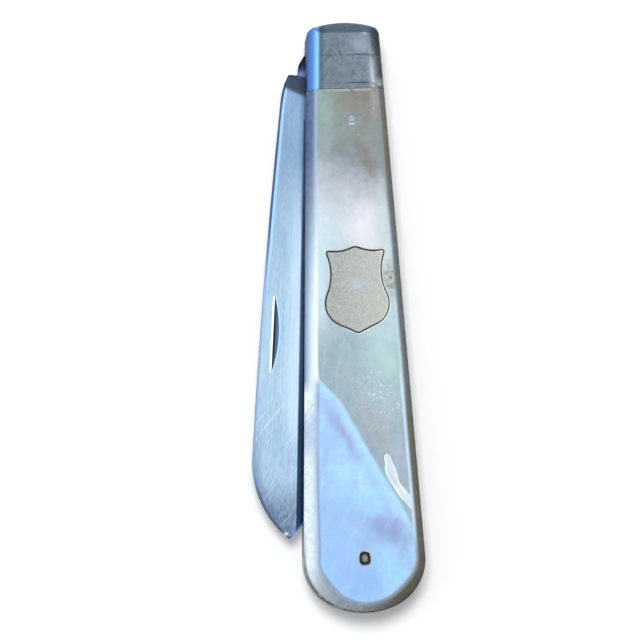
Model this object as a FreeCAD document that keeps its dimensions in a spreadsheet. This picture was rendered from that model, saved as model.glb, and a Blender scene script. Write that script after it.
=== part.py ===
"""Folding fruit knife: a blade on a pivot pin, held by a back spring between two lined pearl scales.

The frame: X across the handle, towards the back spring; Y along it, towards the bolsters; Z up, out of the
front face. The origin is the middle of the rear face, on which the knife lies. All sizes are millimetres.
"""
import FreeCAD, Part
import Sketcher
import math
import os
import types

SIZES = {
    # Layers, from the middle outwards
    "spring_thickness": 1.8,
    "liner_thickness": 0.6,
    "scale_thickness": 2.0,
    # Handle outline
    "butt_width": 15.45,
    "butt_corner_radius": 6.5,
    "butt_end_radius": 9.7,
    "bolster_width": 9.5,
    "bolster_inner_corner_radius": 0.1,
    "bolster_end_radius": 11.0,
    "bolster_length": 9.0,
    "border_bevel": 1.1,
    "end_facet_length": 1.6,
    "end_facet_drop": 1.3,
    # Lines cut across the bolsters
    "outer_line_from_end": 4.6,
    "inner_line_from_end": 8.25,
    "line_width": 0.34,
    "line_depth": 0.14,
    # Pivot
    "pivot_from_end": 7.05,
    "pivot_to_front": 1.45,
    "pivot_pin_radius": 1.0,
    "pivot_clearance": 0.03,
    "pin_clearance": 0.01,
    "rest_angle": 5.0,
    # Tang of the blade, from the pivot
    "tang_radius": 4.7,
    "tang_flat": 4.5,
    "tang_side_clearance": 0.04,
    "shoulder_rise": 0.1,
    "shoulder_height": 5.73,
    "kick_length": 2.4,
    "choil_start": 5.6,
    "choil_radius": 1.3,
    # Blade outline: reaches go from the pivot towards the point, heights and depths square to that
    "blade_reach": 59.65,
    "flare_reach": 3.2,
    "flare_height": 6.55,
    "flare_radius": 8.0,
    "spine_height": 7.9,
    "spine_bow_radius": 960.0,
    "point_curve_length": 10.05,
    "point_curve_radius": 12.5,
    "point_height": 2.75,
    "point_flat_width": 0.55,
    "point_flat_rise": 0.2,
    "belly_length": 11.05,
    "belly_radius": 18.0,
    "belly_depth": 1.44,
    "heel_reach": 8.0,
    "heel_depth": 2.3,
    # Blade section
    "blade_root_thickness": 1.5,
    "blade_point_thickness": 0.85,
    "edge_thickness": 0.12,
    "plunge_reach": 3.73,
    "plunge_lean_share": 0.38,
    "bevel_heel_height": 3.5,
    "bevel_point_height": 1.9,
    "spine_chamfer": 0.22,
    # Nail nick
    "nick_reach": 33.7,
    "nick_height": 6.05,
    "nick_length": 10.0,
    "nick_width": 0.62,
    "nick_depth": 0.3,
    # Back spring
    "spring_clearance": 0.05,
    "spring_end_gap": 0.12,
    "nose_length": 5.6,
    "arm_thickness": 2.1,
    "spring_pin_from_middle": 4.2,
    "spring_pin_from_back": 1.75,
    "spring_pin_radius": 0.65,
    "boss_length": 9.0,
    "boss_radius": 8.0,
    "tail_length": 8.0,
    "tail_slope_length": 6.0,
    "tail_radius": 14.0,
    "tail_drop": 1.3,
    "point_room": 1.3,
    # Pins of the scales
    "butt_pin_from_end": 6.85,
    "butt_pin_to_front": 0.05,
    "butt_pin_radius": 0.45,
    "butt_pin_sink": 0.12,
    "worn_hole_width": 1.25,
    "worn_hole_length": 1.45,
    "scale_pin_from_end": 12.93,
    "scale_pin_to_back": 0.55,
    "scale_pin_radius": 0.55,
    # Shield
    "shield_width": 7.76,
    "shield_height": 11.2,
    "shield_from_middle": 2.94,
    "shield_to_back": 0.34,
    "shield_thickness": 0.5,
    "shield_gap": 0.1,
    "shield_rivet_radius": 0.6,
    "shield_rivet_rise": 0.6,
    # Every cut runs this far past the solid
    "cut_overrun": 3.0,
}

# Shield outline, right half from the top middle down to the point, as shares of its width and height
SHIELD_SHARES = [
    ("peak", 0.0, 0.5),
    ("corner", 0.49, 0.455),
    ("flank", 0.47, -0.023),
    ("hip", 0.3, -0.397),
    ("foot", 0.0, -0.5),
]
# Radius of each side of that outline as a share of the shield's width, and whether it swells outwards
SHIELD_ARC_SHARES = [(0.64, False), (0.86, False), (0.385, True), (1.5, False)]

# Two places closer than this are the same
SAME_PLACE = 1e-5
DOC = FreeCAD.newDocument("FoldingKnife")


class Size:
    """A size with its present value and the sheet expression that gives it."""

    def __init__(self, value, text):
        self.value = value
        self.text = text

    def __neg__(self):
        return Size(-self.value, f"-({self.text})")

    def __add__(self, other):
        other = as_size(other)
        return Size(self.value + other.value, f"({self.text} + {other.text})")

    def __sub__(self, other):
        other = as_size(other)
        return Size(self.value - other.value, f"({self.text} - {other.text})")

    def __mul__(self, other):
        other = as_size(other)
        return Size(self.value * other.value, f"({self.text} * {other.text})")

    def __truediv__(self, other):
        other = as_size(other)
        return Size(self.value / other.value, f"({self.text} / {other.text})")


def as_size(number):
    """A plain number as a size, so that both can be joined in sums."""
    return number if isinstance(number, Size) else Size(number, str(number))


def root(square):
    """The square root of a size product."""
    return Size(math.sqrt(square.value), f"sqrt({square.text})")


def slope_angle(rise, run):
    """The angle in degrees of a slope."""
    return Size(math.degrees(math.atan(rise.value / run.value)), f"atan({rise.text} / {run.text})")


def write_sheet():
    """Put the driving dimensions into a spreadsheet and return them as sizes bound to its cells."""
    sheet = DOC.addObject("Spreadsheet::Sheet", "Sizes")
    for row, (name, value) in enumerate(SIZES.items(), start=1):
        sheet.set(f"A{row}", name)
        sheet.set(f"B{row}", str(value))
        sheet.setAlias(f"B{row}", name)
    DOC.recompute()
    return types.SimpleNamespace(**{name: Size(value, f"Sizes.{name}") for name, value in SIZES.items()})


ZERO = Size(0.0, "0")
S = write_sheet()

# Lengths and heights that follow from the driving dimensions
HANDLE_LENGTH = S.pivot_from_end + S.blade_reach + S.point_room + S.tail_length
BOLSTER_END = HANDLE_LENGTH / 2
BUTT_END = -(HANDLE_LENGTH / 2)
JUNCTION = BOLSTER_END - S.bolster_length
BOLSTER_CORNER_RADIUS = S.border_bevel + S.bolster_inner_corner_radius
MIDDLE_Z = S.scale_thickness + S.liner_thickness + S.spring_thickness / 2
FRONT_LINER_Z = MIDDLE_Z + S.spring_thickness / 2
REAR_LINER_Z = MIDDLE_Z - S.spring_thickness / 2
FRONT_SCALE_Z = FRONT_LINER_Z + S.liner_thickness
REAR_SCALE_Z = REAR_LINER_Z - S.liner_thickness
FRONT_Z = FRONT_SCALE_Z + S.scale_thickness
SIDE_REACH = S.butt_width + S.cut_overrun
PIVOT = (-S.pivot_to_front, BOLSTER_END - S.pivot_from_end)
SPRING_FACE_X = S.tang_radius + S.spring_clearance - S.pivot_to_front
BUTT_PIN = (-S.butt_pin_to_front, BUTT_END + S.butt_pin_from_end)
SCALE_PIN = (S.scale_pin_to_back, BOLSTER_END - S.scale_pin_from_end)
SHIELD_MIDDLE = (S.shield_to_back, S.shield_from_middle)
SHIELD_RIVET = (S.shield_to_back, S.shield_from_middle + S.shield_rivet_rise)


def half_width(along):
    """Half the handle's width at a place along it, on the straight taper from bolster to butt."""
    share = (BOLSTER_END - along) / (HANDLE_LENGTH - S.butt_corner_radius)
    return S.bolster_width / 2 + (S.butt_width - S.bolster_width) / 2 * share


SPRING_PIN = (half_width(S.spring_pin_from_middle) - S.spring_pin_from_back, S.spring_pin_from_middle)


def vector(x, y):
    """A sketch point from two sizes."""
    return FreeCAD.Vector(x.value, y.value, 0)


def bind(item, prop, size):
    """Tie a property to the sheet."""
    item.setExpression(prop, size.text)


def new_body(name):
    """A body whose label names its file."""
    body = DOC.addObject("PartDesign::Body", name)
    body.Label = name
    return body


def plane_of(body, role):
    """One of the body's own origin planes."""
    return next(item for item in body.Origin.OriginFeatures if item.Role == role)


def new_sketch(body, name, role="XY_Plane", lift=ZERO, along=ZERO, tilt=None):
    """A sketch on an origin plane.

    It is lifted along the plane's normal, moved along its second axis and tilted about its first.
    """
    sketch = body.newObject("Sketcher::SketchObject", name)
    sketch.AttachmentSupport = [(plane_of(body, role), "")]
    sketch.MapMode = "FlatFace"
    bind(sketch, "AttachmentOffset.Base.y", along)
    bind(sketch, "AttachmentOffset.Base.z", lift)
    if tilt is not None:
        sketch.AttachmentOffset = FreeCAD.Placement(
            FreeCAD.Vector(0, along.value, lift.value),
            FreeCAD.Rotation(FreeCAD.Vector(1, 0, 0), tilt.value))
        bind(sketch, "AttachmentOffset.Rotation.Angle", tilt)
    return sketch


def place_point(sketch, item, end, point):
    """Fix a point of a sketch element at two bound distances from the sketch's origin."""
    for kind, size in (("DistanceX", point[0]), ("DistanceY", point[1])):
        index = sketch.addConstraint(Sketcher.Constraint(kind, -1, 1, item, end, size.value))
        bind(sketch, f"Constraints[{index}]", size)


def bind_radius(sketch, item, radius):
    """Bind the radius of a circle or an arc."""
    index = sketch.addConstraint(Sketcher.Constraint("Radius", item, radius.value))
    bind(sketch, f"Constraints[{index}]", radius)


def draw_circle(sketch, centre, radius):
    """A bound circle."""
    circle = Part.Circle(vector(*centre), FreeCAD.Vector(0, 0, 1), radius.value)
    item = sketch.addGeometry(circle, False)
    place_point(sketch, item, 3, centre)
    bind_radius(sketch, item, radius)


def arc_between(start, end, radius, to_right):
    """The shorter arc from start to end that swells to the right or to the left of the way it goes."""
    chord = end - start
    reach = math.sqrt(radius ** 2 - (chord.Length / 2) ** 2)
    left = FreeCAD.Vector(-chord.y, chord.x, 0).normalize()
    centre = (start + end) / 2 + left * (reach if to_right else -reach)
    first, last = (start, end) if to_right else (end, start)
    angles = [math.atan2(point.y - centre.y, point.x - centre.x) for point in (first, last)]
    return Part.ArcOfCircle(Part.Circle(centre, FreeCAD.Vector(0, 0, 1), radius), *angles)


def draw_outline(sketch, corners, arcs=None):
    """A closed outline through bound corners.

    arcs gives a side's radius and whether it swells to the right, by the number of its first corner.
    """
    arcs = arcs or {}
    count = len(corners)
    starts = {}
    ends = {}
    for number, corner in enumerate(corners):
        start, end = vector(*corner), vector(*corners[(number + 1) % count])
        if number in arcs:
            radius, to_right = arcs[number]
            item = sketch.addGeometry(arc_between(start, end, radius.value, to_right), False)
            starts[number], ends[number] = ((item, 1), (item, 2)) if to_right else ((item, 2), (item, 1))
        else:
            item = sketch.addGeometry(Part.LineSegment(start, end), False)
            starts[number], ends[number] = (item, 1), (item, 2)
    for number, corner in enumerate(corners):
        sketch.addConstraint(Sketcher.Constraint("Coincident", *ends[number - 1 if number else count - 1],
                                                 *starts[number]))
        place_point(sketch, *starts[number], corner)
        if number in arcs:
            bind_radius(sketch, starts[number][0], arcs[number][0])


def tangent_line(low, low_radius, high, high_radius):
    """The direction from both centres to the line that touches two circles on their right."""
    along = high - low
    lean = (low_radius - high_radius) / along.Length
    right = FreeCAD.Vector(along.y, -along.x, 0).normalize()
    return right * math.sqrt(1 - lean ** 2) + along.normalize() * lean


def draw_handle(sketch):
    """The handle's outline: straight tapering sides, a shallow arc at the bolster end and a round butt."""
    end_centre = (ZERO, BOLSTER_END - S.bolster_end_radius)
    end_corner_x = S.bolster_width / 2 - BOLSTER_CORNER_RADIUS
    butt_centre = (ZERO, BUTT_END + S.butt_end_radius)
    butt_corner_x = S.butt_width / 2 - S.butt_corner_radius
    end_reach = S.bolster_end_radius - BOLSTER_CORNER_RADIUS
    butt_reach = S.butt_end_radius - S.butt_corner_radius
    end_corner_y = end_centre[1] + root(end_reach * end_reach - end_corner_x * end_corner_x)
    butt_corner_y = butt_centre[1] - root(butt_reach * butt_reach - butt_corner_x * butt_corner_x)
    high, low = vector(end_corner_x, end_corner_y), vector(butt_corner_x, butt_corner_y)
    normal = tangent_line(low, S.butt_corner_radius.value, high, BOLSTER_CORNER_RADIUS.value)
    side = math.atan2(normal.y, normal.x)
    end_turn = math.atan2(high.y - end_centre[1].value, high.x)
    butt_turn = math.atan2(low.y - butt_centre[1].value, low.x)

    def mirrored(point):
        return FreeCAD.Vector(-point.x, point.y, 0)

    def arc(centre, radius, start, end):
        return Part.ArcOfCircle(Part.Circle(centre, FreeCAD.Vector(0, 0, 1), radius.value), start, end)

    right_low = low + normal * S.butt_corner_radius.value
    right_high = high + normal * BOLSTER_CORNER_RADIUS.value
    for element in (
            Part.LineSegment(right_low, right_high),
            arc(high, BOLSTER_CORNER_RADIUS, side, end_turn),
            arc(vector(*end_centre), S.bolster_end_radius, end_turn, math.pi - end_turn),
            arc(mirrored(high), BOLSTER_CORNER_RADIUS, math.pi - end_turn, math.pi - side),
            Part.LineSegment(mirrored(right_high), mirrored(right_low)),
            arc(mirrored(low), S.butt_corner_radius, math.pi - side, math.pi - butt_turn),
            arc(vector(*butt_centre), S.butt_end_radius, math.pi - butt_turn, butt_turn),
            arc(low, S.butt_corner_radius, butt_turn, side)):
        sketch.addGeometry(element, False)
    side_count = sketch.GeometryCount
    for item in range(side_count):
        sketch.addConstraint(Sketcher.Constraint("Tangent", item, 2, (item + 1) % side_count, 1))
    for item, radius in ((1, BOLSTER_CORNER_RADIUS), (2, S.bolster_end_radius), (3, BOLSTER_CORNER_RADIUS),
                         (5, S.butt_corner_radius), (6, S.butt_end_radius), (7, S.butt_corner_radius)):
        bind_radius(sketch, item, radius)
    place_point(sketch, 2, 3, end_centre)
    place_point(sketch, 6, 3, butt_centre)
    for item, offset in ((1, end_corner_x), (3, -end_corner_x), (5, -butt_corner_x), (7, butt_corner_x)):
        index = sketch.addConstraint(Sketcher.Constraint("DistanceX", -1, 1, item, 3, offset.value))
        bind(sketch, f"Constraints[{index}]", offset)


def add_pad(body, sketch, name, length, downwards=False):
    """Pad a sketch by a bound length."""
    pad = body.newObject("PartDesign::Pad", name)
    pad.Profile = sketch
    bind(pad, "Length", length)
    pad.Reversed = downwards
    DOC.recompute()
    return pad


def add_pocket(body, sketch, name, side="Symmetric", reverse=False, depth=None):
    """Cut a sketch out of the body, through all of it unless a depth is given.

    A cut that takes nothing, or everything, is an error.
    """
    before = body.Shape.Volume
    pocket = body.newObject("PartDesign::Pocket", name)
    pocket.Profile = sketch
    pocket.SideType = side
    pocket.Reversed = reverse
    if depth is None:
        pocket.Type = "ThroughAll"
    else:
        bind(pocket, "Length", depth)
    DOC.recompute()
    if not 0 < body.Shape.Volume < before:
        raise RuntimeError(f"{body.Label}: {name} cuts nothing or leaves nothing")
    return pocket


def drill(body, name, places, radius):
    """Round holes right through the body."""
    sketch = new_sketch(body, f"{name}Sketch")
    for place in places:
        draw_circle(sketch, place, radius)
    add_pocket(body, sketch, name)


def box_corners(left, right, low, high):
    """The corners of an upright rectangle."""
    return [(left, low), (right, low), (right, high), (left, high)]


def edges_of(shape, wanted):
    """The names of the edges whose bounding box passes a test."""
    return [f"Edge{number}" for number, edge in enumerate(shape.Edges, start=1) if wanted(edge.BoundBox)]


def make_liner(name, inner, front):
    """A metal side plate with the handle's whole outline."""
    body = new_body(name)
    outline = new_sketch(body, f"{name}Outline", lift=inner)
    draw_handle(outline)
    add_pad(body, outline, f"{name}Plate", S.liner_thickness, downwards=not front)
    drill(body, f"{name}PivotHole", [PIVOT], S.pivot_pin_radius + S.pin_clearance)
    drill(body, f"{name}SpringPinHole", [SPRING_PIN], S.spring_pin_radius + S.pin_clearance)
    drill(body, f"{name}ButtPinHole", [BUTT_PIN], S.butt_pin_radius + S.pin_clearance)
    drill(body, f"{name}ScalePinHole", [SCALE_PIN], S.scale_pin_radius + S.pin_clearance)
    if front:
        drill(body, f"{name}ShieldRivetHole", [SHIELD_RIVET], S.shield_rivet_radius + S.pin_clearance)
    return body


def make_slab(name, inner, outer, front):
    """A slab of the handle's whole outline with a bevel round its outer face."""
    body = new_body(name)
    outline = new_sketch(body, f"{name}Outline", lift=inner)
    draw_handle(outline)
    pad = add_pad(body, outline, f"{name}Slab", S.scale_thickness, downwards=not front)
    border = edges_of(pad.Shape, lambda box: math.isclose(box.ZMin, outer.value, abs_tol=SAME_PLACE))
    bevel = body.newObject("PartDesign::Chamfer", f"{name}Bevel")
    bevel.Base = (pad, border)
    bind(bevel, "Size", S.border_bevel)
    DOC.recompute()
    return body


def make_bolster(name, inner, outer, front):
    """A metal cap round the pivot, with a flat facet on its end and two lines cut across its face."""
    body = make_slab(name, inner, outer, front)
    rest = new_sketch(body, f"{name}RestSketch")
    draw_outline(rest, box_corners(-SIDE_REACH, SIDE_REACH, BUTT_END - S.cut_overrun, JUNCTION))
    add_pocket(body, rest, f"{name}Rest")
    way = Size(1.0, "1") if front else Size(-1.0, "-1")
    facet = new_sketch(body, f"{name}FacetSketch", "YZ_Plane")
    facet_foot = BOLSTER_END + S.end_facet_length
    draw_outline(facet, [
        (BOLSTER_END - S.end_facet_length, outer),
        (facet_foot, outer - way * S.end_facet_drop * 2),
        (facet_foot, outer)])
    add_pocket(body, facet, f"{name}Facet")
    for label, from_end in (("Outer", S.outer_line_from_end), ("Inner", S.inner_line_from_end)):
        line = new_sketch(body, f"{name}{label}LineSketch", "YZ_Plane")
        middle = BOLSTER_END - from_end
        draw_outline(line, [
            (middle - S.line_width / 2, outer),
            (middle + S.line_width / 2, outer),
            (middle, outer - way * S.line_depth)])
        add_pocket(body, line, f"{name}{label}Line")
    drill(body, f"{name}PivotHole", [PIVOT], S.pivot_pin_radius + S.pin_clearance)
    return body


def make_scale(name, inner, outer, front):
    """A pearl slab from bolster to butt, with holes for its pins and, in front, a bed for the shield."""
    body = make_slab(name, inner, outer, front)
    rest = new_sketch(body, f"{name}RestSketch")
    draw_outline(rest, box_corners(-SIDE_REACH, SIDE_REACH, JUNCTION, BOLSTER_END + S.cut_overrun))
    add_pocket(body, rest, f"{name}Rest")
    drill(body, f"{name}ScalePinHole", [SCALE_PIN], S.scale_pin_radius + S.pin_clearance)
    worn = new_sketch(body, f"{name}WornHoleSketch")
    draw_outline(worn, box_corners(
        BUTT_PIN[0] - S.worn_hole_width / 2, BUTT_PIN[0] + S.worn_hole_width / 2,
        BUTT_PIN[1] - S.worn_hole_length / 2, BUTT_PIN[1] + S.worn_hole_length / 2))
    add_pocket(body, worn, f"{name}WornHole")
    if front:
        bed = new_sketch(body, f"{name}BedSketch", lift=outer)
        draw_shield(bed, S.shield_gap)
        add_pocket(body, bed, f"{name}Bed", side="One side", depth=S.shield_thickness)
        drill(body, f"{name}ShieldRivetHole", [SHIELD_RIVET], S.shield_rivet_radius + S.pin_clearance)
    return body


def draw_shield(sketch, gap):
    """The shield's outline, widened by a gap: scalloped top, narrow waist, round lobes and a point below."""
    width = S.shield_width + gap * 2
    height = S.shield_height + gap * 2
    middle_x, middle_y = SHIELD_MIDDLE
    half = [(width * across, middle_y + height * along) for _, across, along in SHIELD_SHARES]
    right = [(middle_x + across, along) for across, along in half]
    left = [(middle_x - across, along) for across, along in half[-2:0:-1]]
    corners = right + left
    arcs = {}
    for number, (share, outwards) in enumerate(SHIELD_ARC_SHARES):
        arcs[number] = (width * share, not outwards)
        arcs[len(corners) - 1 - number] = (width * share, not outwards)
    draw_outline(sketch, corners, arcs)


def make_shield():
    """The plate let into the front scale, flush with it, with a hole for its rivet."""
    body = new_body("shield")
    outline = new_sketch(body, "shieldOutline", lift=FRONT_Z - S.shield_thickness)
    draw_shield(outline, ZERO)
    add_pad(body, outline, "shieldPlate", S.shield_thickness)
    drill(body, "shieldRivetHole", [SHIELD_RIVET], S.shield_rivet_radius + S.pin_clearance)
    return body


def make_spring():
    """The back spring: the handle's outline less the blade's room, which leaves nose, arm, boss and tail."""
    body = new_body("back_spring")
    outline = new_sketch(body, "back_springOutline", lift=REAR_LINER_Z)
    draw_handle(outline)
    add_pad(body, outline, "back_springPlate", S.spring_thickness)
    nose_end = PIVOT[1] - S.shoulder_rise - S.spring_end_gap
    nose_foot = nose_end - S.nose_length
    boss_high = S.spring_pin_from_middle + S.boss_length / 2
    boss_low = S.spring_pin_from_middle - S.boss_length / 2
    tail_end = BUTT_END + S.tail_length
    arm_foot = tail_end + S.tail_slope_length
    well = new_sketch(body, "back_springWellSketch")
    draw_outline(well, [
        (SIDE_REACH, nose_end),
        (SPRING_FACE_X, nose_end),
        (SPRING_FACE_X, nose_foot),
        (half_width(boss_high) - S.arm_thickness, boss_high),
        (half_width(boss_low) - S.arm_thickness, boss_low),
        (half_width(arm_foot) - S.arm_thickness, arm_foot),
        (ZERO, tail_end),
        (-SIDE_REACH, tail_end - S.tail_drop),
        (-SIDE_REACH, BOLSTER_END + S.cut_overrun),
        (SIDE_REACH, BOLSTER_END + S.cut_overrun)],
        arcs={3: (S.boss_radius, True), 5: (S.tail_radius, False)})
    add_pocket(body, well, "back_springWell")
    drill(body, "back_springPinHole", [SPRING_PIN], S.spring_pin_radius + S.pin_clearance)
    drill(body, "back_springButtPinHole", [BUTT_PIN], S.butt_pin_radius + S.pin_clearance)
    return body


def draw_blade(sketch):
    """The blade closed in the handle, pivot at the origin: point towards minus Y, spine towards minus X."""
    flat_end = root(S.tang_radius * S.tang_radius - S.tang_flat * S.tang_flat)
    belly_start = S.blade_reach - S.point_flat_rise - S.belly_length
    corners = [
        (-S.tang_flat, S.shoulder_rise),
        (-S.shoulder_height, S.shoulder_rise),
        (-S.flare_height, -S.flare_reach),
        (-S.spine_height, S.point_curve_length - S.blade_reach),
        (-S.point_height, -S.blade_reach),
        (S.point_flat_width - S.point_height, S.point_flat_rise - S.blade_reach),
        (S.belly_depth, -belly_start),
        (S.heel_depth, -S.heel_reach),
        (S.heel_depth, -S.choil_start),
        (S.tang_flat, -S.kick_length),
        (S.tang_flat, flat_end),
        (-S.tang_flat, flat_end)]
    arcs = {
        1: (S.flare_radius, True),
        2: (S.spine_bow_radius, True),
        3: (S.point_curve_radius, True),
        5: (S.belly_radius, True),
        7: (S.choil_radius, False),
        10: (S.tang_radius, True)}
    draw_outline(sketch, corners, arcs)


def half_thickness(reach):
    """Half the blade's thickness between its flat faces at a reach from the pivot."""
    taper = (S.blade_root_thickness - S.blade_point_thickness) / 2
    return S.blade_root_thickness / 2 - taper * (reach / S.blade_reach)


def cut_nail_nick(body, face_height):
    """The nick: a slanting cutter's rim, steep towards the spine and running out towards the edge."""
    before = body.Shape.Volume
    slant = root(S.nick_width * S.nick_width + S.nick_depth * S.nick_depth)
    rim_depth = S.nick_depth * slant / S.nick_width
    radius = (S.nick_length * S.nick_length / 4 + rim_depth * rim_depth) / (rim_depth * 2)
    nick = body.newObject("PartDesign::SubtractiveCylinder", "bladeNailNick")
    bind(nick, "Radius", radius)
    bind(nick, "Height", S.nick_width * 2)
    turn = slope_angle(S.nick_width, S.nick_depth)
    nick.Placement = FreeCAD.Placement(
        FreeCAD.Vector(), FreeCAD.Rotation(FreeCAD.Vector(0, 1, 0), turn.value))
    bind(nick, "Placement.Rotation.Angle", turn)
    wall_lean = S.nick_depth * S.nick_depth / S.nick_width
    bind(nick, "Placement.Base.x", wall_lean - S.nick_height - radius * S.nick_depth / slant)
    bind(nick, "Placement.Base.y", -S.nick_reach)
    bind(nick, "Placement.Base.z", face_height - S.nick_depth + radius * S.nick_width / slant)
    DOC.recompute()
    if not 0 < body.Shape.Volume < before:
        raise RuntimeError("the nail nick cuts nothing or leaves nothing")


def chamfer_spine(body):
    """Break both long edges of the blade's back."""
    tip = body.Tip
    back = edges_of(tip.Shape, lambda box: box.XMax < -S.flare_height.value + S.spine_chamfer.value
                    and box.YLength > S.blade_reach.value / 2)
    chamfer = body.newObject("PartDesign::Chamfer", "bladeSpineChamfer")
    chamfer.Base = (tip, back)
    bind(chamfer, "Size", S.spine_chamfer)
    DOC.recompute()


def make_blade():
    """The blade: tang, slanting plunge, tapering faces, ground bevels, chamfered back and nail nick."""
    body = new_body("blade")
    thickness = S.spring_thickness - S.tang_side_clearance * 2
    outline = new_sketch(body, "bladeOutline", lift=-(thickness / 2))
    draw_blade(outline)
    add_pad(body, outline, "bladePlate", thickness)
    side = S.spine_height + S.cut_overrun
    far = S.blade_reach + S.cut_overrun

    taper = slope_angle(S.blade_root_thickness / 2 - S.blade_point_thickness / 2, S.blade_reach)
    face = new_sketch(body, "bladeFaceSketch", lift=S.blade_root_thickness / 2, tilt=taper)
    draw_outline(face, [
        (-side, -(S.plunge_reach - side * S.plunge_lean_share)),
        (-side, -far),
        (side, -far),
        (side, -(S.plunge_reach + side * S.plunge_lean_share))])
    face_cut = add_pocket(body, face, "bladeFace", side="One side", reverse=True)

    def bevel_section(name, reach, height, depth):
        """The wedge that the grinding takes off one face at a place along the blade."""
        section = new_sketch(body, name, "XZ_Plane", lift=reach)
        half = half_thickness(reach)
        width = height + depth
        slope = (half - S.edge_thickness / 2) / width
        out = side - depth
        draw_outline(section, [
            (-height, half),
            (side, half - slope * (width + out)),
            (side, half + S.cut_overrun),
            (-height, half + S.cut_overrun)])
        return section

    heel = bevel_section("bladeHeelSection", S.choil_start, S.bevel_heel_height, S.heel_depth)
    point = bevel_section("bladePointSection", S.blade_reach, S.bevel_point_height, S.belly_depth)
    bevel = body.newObject("PartDesign::SubtractiveLoft", "bladeBevel")
    bevel.Profile = heel
    bevel.Sections = [point]
    bevel.Ruled = True
    DOC.recompute()

    mirror = body.newObject("PartDesign::Mirrored", "bladeRearFaces")
    mirror.Originals = [face_cut, bevel]
    mirror.MirrorPlane = (plane_of(body, "XY_Plane"), [""])
    body.Tip = mirror
    DOC.recompute()

    drill(body, "bladePivotHole", [(ZERO, ZERO)], S.pivot_pin_radius + S.pivot_clearance)
    cut_nail_nick(body, half_thickness(S.nick_reach))
    chamfer_spine(body)
    body.Placement = FreeCAD.Placement(
        FreeCAD.Vector(PIVOT[0].value, PIVOT[1].value, MIDDLE_Z.value),
        FreeCAD.Rotation(FreeCAD.Vector(0, 0, 1), -S.rest_angle.value))
    bind(body, "Placement.Base.x", PIVOT[0])
    bind(body, "Placement.Base.y", PIVOT[1])
    bind(body, "Placement.Base.z", MIDDLE_Z)
    bind(body, "Placement.Rotation.Angle", -S.rest_angle)
    return body


def make_pin(name, place, radius, low, high):
    """A plain round pin between two heights."""
    pin = DOC.addObject("Part::Cylinder", name)
    pin.Label = name
    bind(pin, "Radius", radius)
    bind(pin, "Height", high - low)
    bind(pin, "Placement.Base.x", place[0])
    bind(pin, "Placement.Base.y", place[1])
    bind(pin, "Placement.Base.z", low)
    return pin


def build():
    """Every sub-part of the knife."""
    return [
        make_blade(),
        make_spring(),
        make_liner("front_liner", FRONT_LINER_Z, True),
        make_liner("rear_liner", REAR_LINER_Z, False),
        make_bolster("front_bolster", FRONT_SCALE_Z, FRONT_Z, True),
        make_bolster("rear_bolster", REAR_SCALE_Z, ZERO, False),
        make_scale("front_scale", FRONT_SCALE_Z, FRONT_Z, True),
        make_scale("rear_scale", REAR_SCALE_Z, ZERO, False),
        make_shield(),
        make_pin("shield_rivet", SHIELD_RIVET, S.shield_rivet_radius, FRONT_LINER_Z, FRONT_Z),
        make_pin("pivot_pin", PIVOT, S.pivot_pin_radius, ZERO, FRONT_Z),
        make_pin("spring_pin", SPRING_PIN, S.spring_pin_radius, REAR_SCALE_Z, FRONT_SCALE_Z),
        make_pin("butt_pin", BUTT_PIN, S.butt_pin_radius, S.butt_pin_sink, FRONT_Z - S.butt_pin_sink),
        make_pin("front_scale_pin", SCALE_PIN, S.scale_pin_radius, FRONT_LINER_Z, FRONT_Z),
        make_pin("rear_scale_pin", SCALE_PIN, S.scale_pin_radius, ZERO, REAR_LINER_Z),
    ]


def main():
    """Build the knife, check every object and write each sub-part to its own file."""
    pieces = build()
    DOC.recompute()
    for item in DOC.Objects:
        if "Invalid" in item.State or "Error" in item.State:
            raise RuntimeError(f"{item.Label} failed: {item.State}")
    for piece in pieces:
        if piece.Shape.isNull() or not piece.Shape.isValid() or len(piece.Shape.Solids) != 1:
            raise RuntimeError(f"{piece.Label} is not one valid solid")
    os.makedirs("parts", exist_ok=True)
    for piece in pieces:
        piece.Shape.exportStep(f"parts/{piece.Label}.step")
        print(piece.Label, round(piece.Shape.Volume, 3))


main()
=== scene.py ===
"""Folding fruit knife: pearl scales, worn bolsters, shield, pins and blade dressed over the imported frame.

Lengths are millimetres in the part's own frame until a mesh is written: X across the handle towards the
back spring, Y along it towards the bolsters, Z up out of the front face. Colours are 0 to 255 screen values.
"""
import math

import bpy
import numpy as np
from mathutils import Matrix, Vector
from mathutils.geometry import delaunay_2d_cdt


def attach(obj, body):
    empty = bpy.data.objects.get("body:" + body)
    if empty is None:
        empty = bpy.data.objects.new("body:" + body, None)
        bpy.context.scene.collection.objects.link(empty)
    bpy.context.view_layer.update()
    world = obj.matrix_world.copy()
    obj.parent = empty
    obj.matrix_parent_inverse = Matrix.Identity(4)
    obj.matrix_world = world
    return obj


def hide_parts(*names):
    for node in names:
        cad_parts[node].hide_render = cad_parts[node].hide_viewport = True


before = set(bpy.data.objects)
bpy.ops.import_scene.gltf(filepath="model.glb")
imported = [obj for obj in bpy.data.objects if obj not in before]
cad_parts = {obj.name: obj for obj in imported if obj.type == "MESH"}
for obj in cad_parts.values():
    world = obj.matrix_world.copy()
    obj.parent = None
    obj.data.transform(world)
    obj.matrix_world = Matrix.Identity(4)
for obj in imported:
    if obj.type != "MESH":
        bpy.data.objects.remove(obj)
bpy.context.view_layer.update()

MM = 0.001

# Heights
FRONT_Z = 7.0
MIDDLE_Z = FRONT_Z / 2
SCALE_FOOT_Z = 5.0
BEVEL_FOOT_Z = 5.9
SHIELD_FOOT_Z = 6.5

# Camera, at the angle of the photo
CAMERA_AIM = np.array([-4.52, -0.79, FRONT_Z])
CAMERA_LEAN = (-0.065, -0.114)
CAMERA_ROLL = -0.0405
CAMERA_DISTANCE = 327.1
CAMERA_LENS = 144.8

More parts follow.
